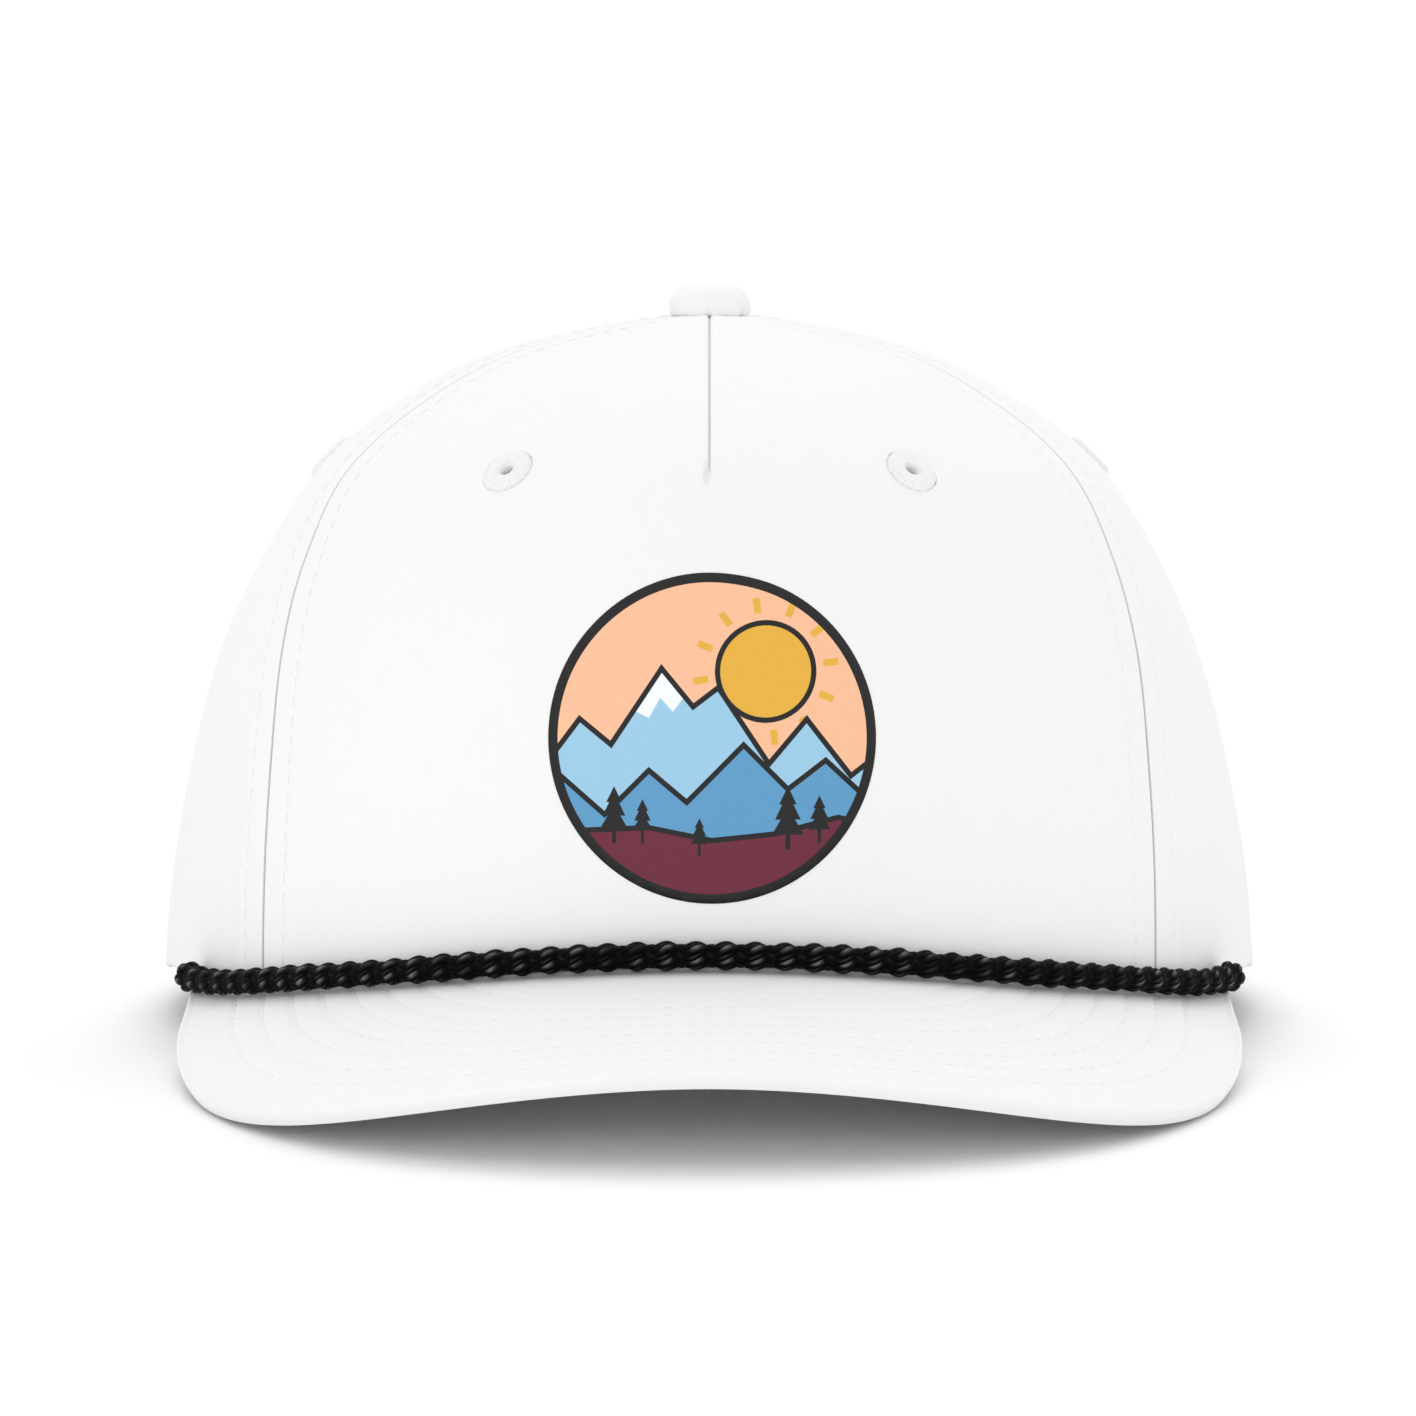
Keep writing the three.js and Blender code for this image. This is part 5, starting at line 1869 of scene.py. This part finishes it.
def print_layers(radius):
    """The print's flat shapes, lowest first, each with its ink: a sunrise behind hills in a ring."""
    sun_x, sun_y, sun_radius = SUN
    layers = [("outline", circle(0, 0, radius, 160)), ("sky", circle(0, 0, radius - PRINT_RING, 160))]
    for number in range(RAY_COUNT):
        turn = 2 * math.pi * number / RAY_COUNT + 0.13
        way = np.array((math.cos(turn), math.sin(turn)))
        ends = np.array((sun_x, sun_y)) + way * np.array(((sun_radius + 2.0,), (sun_radius + 4.4,)))
        layers.append(("sun", ribbon(ends, RAY_WIDE)))
    for ink, reach in (("outline", sun_radius + PRINT_LINE), ("sun", sun_radius)):
        layers.append((ink, circle(sun_x, sun_y, reach)))
    for ink, line in (("far_hills", FAR_HILLS), ("near_hills", NEAR_HILLS), ("ground", GROUND)):
        layers.append((ink, under_line(line, PRINT_LOW)))
        if ink == "far_hills":
            layers.append(("snow", np.array(FAR_SNOW)))
        layers.append(("outline", ribbon(line, PRINT_LINE)))
    layers += [("outline", pine(*place)) for place in PINES]
    return [(ink, with_steps(outline, PRINT_STEP)) for ink, outline in layers]


def inside_outline(points, outline):
    """Which points lie inside a closed outline."""
    x, y = points[:, 0], points[:, 1]
    inside = np.zeros(len(points), bool)
    for (ax, ay), (bx, by) in zip(outline, np.roll(outline, -1, axis=0)):
        if ay == by:
            continue
        crosses = (ay > y) != (by > y)
        inside ^= crosses & (x < (bx - ax) * (y - ay) / (by - ay) + ax)
    return inside


PRINT_HEIGHT = 43.3
PRINT_X = 0.4
PRINT_LIFT = 0.1
INK_THICK = 0.08
# Closer points run together in the drawing, and shorter edges are taken out of the sheet
SAME_POINT = 2e-3
LEAST_EDGE = 0.003


class CAP_OT_front_print(bpy.types.Operator):
    """Print a sunrise over hills on the front panel, in flat inks on the cloth"""

    bl_idname = "cap.front_print"
    bl_label = "Front Print"

    def execute(self, context):
        sizes = context.scene.cap_sizes
        radius = sizes.print_width / MM / 2
        layers = print_layers(radius)
        points, edges = [], []
        for _, outline in layers:
            start = len(points)
            points += [Vector(p) for p in outline]
            edges += [(start + i, start + (i + 1) % len(outline)) for i in range(len(outline))]
        ticks = np.arange(-radius, radius, PRINT_STEP)
        points += [Vector((x, y)) for x in ticks for y in ticks if math.hypot(x, y) < radius - 0.7]
        flat, _, faces, *_ = delaunay_2d_cdt(points, edges, [], 0, SAME_POINT)
        flat = np.array([tuple(p) for p in flat])
        faces = np.array([tuple(face) for face in faces])
        middle = flat[faces].mean(1)
        ink = np.full(len(faces), -1)
        for shape, outline in layers:
            ink[inside_outline(middle, outline)] = PRINT_INKS.index(shape)
        ink[~inside_outline(middle, layers[1][1])] = PRINT_INKS.index("outline")
        shown = inside_outline(middle, layers[0][1])
        faces, ink = faces[shown], ink[shown]
        used, numbers = np.unique(faces, return_inverse=True)
        flat = flat[used]
        faces = numbers.reshape(-1, 3)
        angle, level = front_place(flat[:, 0] + PRINT_X, flat[:, 1] + PRINT_HEIGHT)
        outside = cloth_point(angle, level, PRINT_LIFT, sizes)
        mesh = self.ink_mesh(outside, faces, ink, flat)
        inks = [f"ink {name}".replace("_", " ") for name in PRINT_INKS]
        piece = new_object("front_print_inks", mesh, inks)
        solid = piece.modifiers.new("ink thickness", "SOLIDIFY")
        solid.thickness = INK_THICK * MM
        solid.offset = -1
        apply_modifiers(piece)
        return {"FINISHED"}

    @staticmethod
    def ink_mesh(points, faces, ink, flat):
        """The open sheet of ink, facing out of the cloth."""
        mesh = plain_mesh("front_print_inks", points, faces)
        mesh.polygons.foreach_set("material_index", ink)
        map_points(mesh, flat)
        if np.mean([polygon.normal.y for polygon in mesh.polygons]) > 0:
            mesh.flip_normals()
        sheet = bmesh.new()
        sheet.from_mesh(mesh)
        bmesh.ops.dissolve_degenerate(sheet, dist=LEAST_EDGE * MM, edges=sheet.edges)
        sheet.to_mesh(mesh)
        sheet.free()
        mesh.shade_smooth()
        return mesh


# The stage: floor, light and camera

CAMERA_ELEVATION = 3.0
CAMERA_DISTANCE = 2200.0
TARGET = (0.0, 0.0, 43.2)
PICTURE_SIDE = 1416
FOCAL_PIXELS = 13288
TARGET_PIXEL = (709.5, 708)
SENSOR = 36.0
FLOOR_HALF = 12.0

# Broad lights, so wide that they shade like large soft boxes: the way each comes from, as
# (towards the wearer's left, towards the back, up), its strength and how wide it is in degrees
LIGHTS = {
    "overhead": ((0.0, 0.6, 0.8), 0.95, 55),
    "key": ((-0.2, -0.3, 0.93), 0.25, 55),
    "front": ((-0.1, -0.98, 0.12), 1.1, 40),
    "right": ((0.9, 0.2, 0.38), 0.6, 55),
    "left": ((-0.9, 0.0, 0.4), 0.42, 55),
}
SKY_STRENGTH = 0.59


class CAP_OT_stage(bpy.types.Operator):
    """Set up the floor, the soft studio light and the camera at the picture's angle"""

    bl_idname = "cap.stage"
    bl_label = "Studio Stage"

    def execute(self, context):
        scene = context.scene
        self.make_floor()
        world = bpy.data.worlds.new("white studio")
        world.use_nodes = True
        sky = world.node_tree.nodes["Background"]
        sky.inputs["Color"].default_value = (1, 1, 1, 1)
        sky.inputs["Strength"].default_value = SKY_STRENGTH
        scene.world = world
        for name, light in LIGHTS.items():
            self.make_light(name, *light)
        self.make_camera()
        scene.view_settings.view_transform = "Standard"
        return {"FINISHED"}

    @staticmethod
    def make_floor():
        corners = [(x * FLOOR_HALF, y * FLOOR_HALF, 0) for x, y in ((-1, -1), (1, -1), (1, 1), (-1, 1))]
        mesh = bpy.data.meshes.new("studio_floor")
        mesh.from_pydata(corners, [], [(0, 1, 2, 3)])
        mesh.materials.append(bpy.data.materials["studio paper"])
        floor = in_scene("studio_floor", mesh)

    @staticmethod
    def make_light(name, way, strength, width):
        data = bpy.data.lights.new(name, "SUN")
        data.energy = strength
        data.angle = math.radians(width)
        lamp = in_scene(name, data)
        lamp.rotation_euler = Vector(way).to_track_quat("Z", "Y").to_euler()
        lamp.location = Vector(way) * 2

    @staticmethod
    def make_camera():
        data = bpy.data.cameras.new("camera")
        data.sensor_width = SENSOR
        data.lens = FOCAL_PIXELS * SENSOR / PICTURE_SIDE
        data.shift_x = (PICTURE_SIDE / 2 - TARGET_PIXEL[0]) / PICTURE_SIDE
        data.shift_y = (TARGET_PIXEL[1] - PICTURE_SIDE / 2) / PICTURE_SIDE
        data.clip_end = 100
        camera = in_scene("camera", data)
        angle = math.radians(CAMERA_ELEVATION) + TILT
        back = Vector((0, -math.cos(angle), math.sin(angle)))
        camera.location = Vector(to_rest(TARGET)) + back * CAMERA_DISTANCE * MM
        camera.rotation_euler = (-back).to_track_quat("-Z", "Y").to_euler()
        bpy.context.scene.camera = camera


class CAP_PT_sidebar(bpy.types.Panel):
    """Lists the cap's pieces, sizes and colours"""

    bl_label = "Rope Cap"
    bl_idname = "CAP_PT_sidebar"
    bl_space_type = "VIEW_3D"
    bl_region_type = "UI"
    bl_category = "Rope Cap"

    def draw(self, context):
        for operator in OPERATORS:
            self.layout.operator(operator.bl_idname)
        for group in (context.scene.cap_sizes, context.scene.cap_colours):
            box = self.layout.box()
            for name in group.bl_rna.properties.keys():
                if name not in ("rna_type", "name"):
                    box.prop(group, name)


OPERATORS = (
    CAP_OT_crown_panels,
    CAP_OT_peak,
    CAP_OT_rope,
    CAP_OT_button,
    CAP_OT_eyelets,
    CAP_OT_topstitching,
    CAP_OT_back_opening,
    CAP_OT_sweatband,
    CAP_OT_snap_strap,
    CAP_OT_front_print,
    CAP_OT_stage,
)
CLASSES = (CapSizes, CapColours, *OPERATORS, CAP_PT_sidebar)


def register():
    for item in CLASSES:
        bpy.utils.register_class(item)
    bpy.types.Scene.cap_sizes = bpy.props.PointerProperty(type=CapSizes)
    bpy.types.Scene.cap_colours = bpy.props.PointerProperty(type=CapColours)


def unregister():
    del bpy.types.Scene.cap_colours
    del bpy.types.Scene.cap_sizes
    for item in reversed(CLASSES):
        bpy.utils.unregister_class(item)


def main():
    """Builds the whole cap and its stage."""
    register()
    make_materials(bpy.context.scene.cap_colours)
    for operator in OPERATORS:
        group, name = operator.bl_idname.split(".")
        getattr(getattr(bpy.ops, group), name)()
    bpy.context.view_layer.update()


if __name__ == "__main__":
    main()
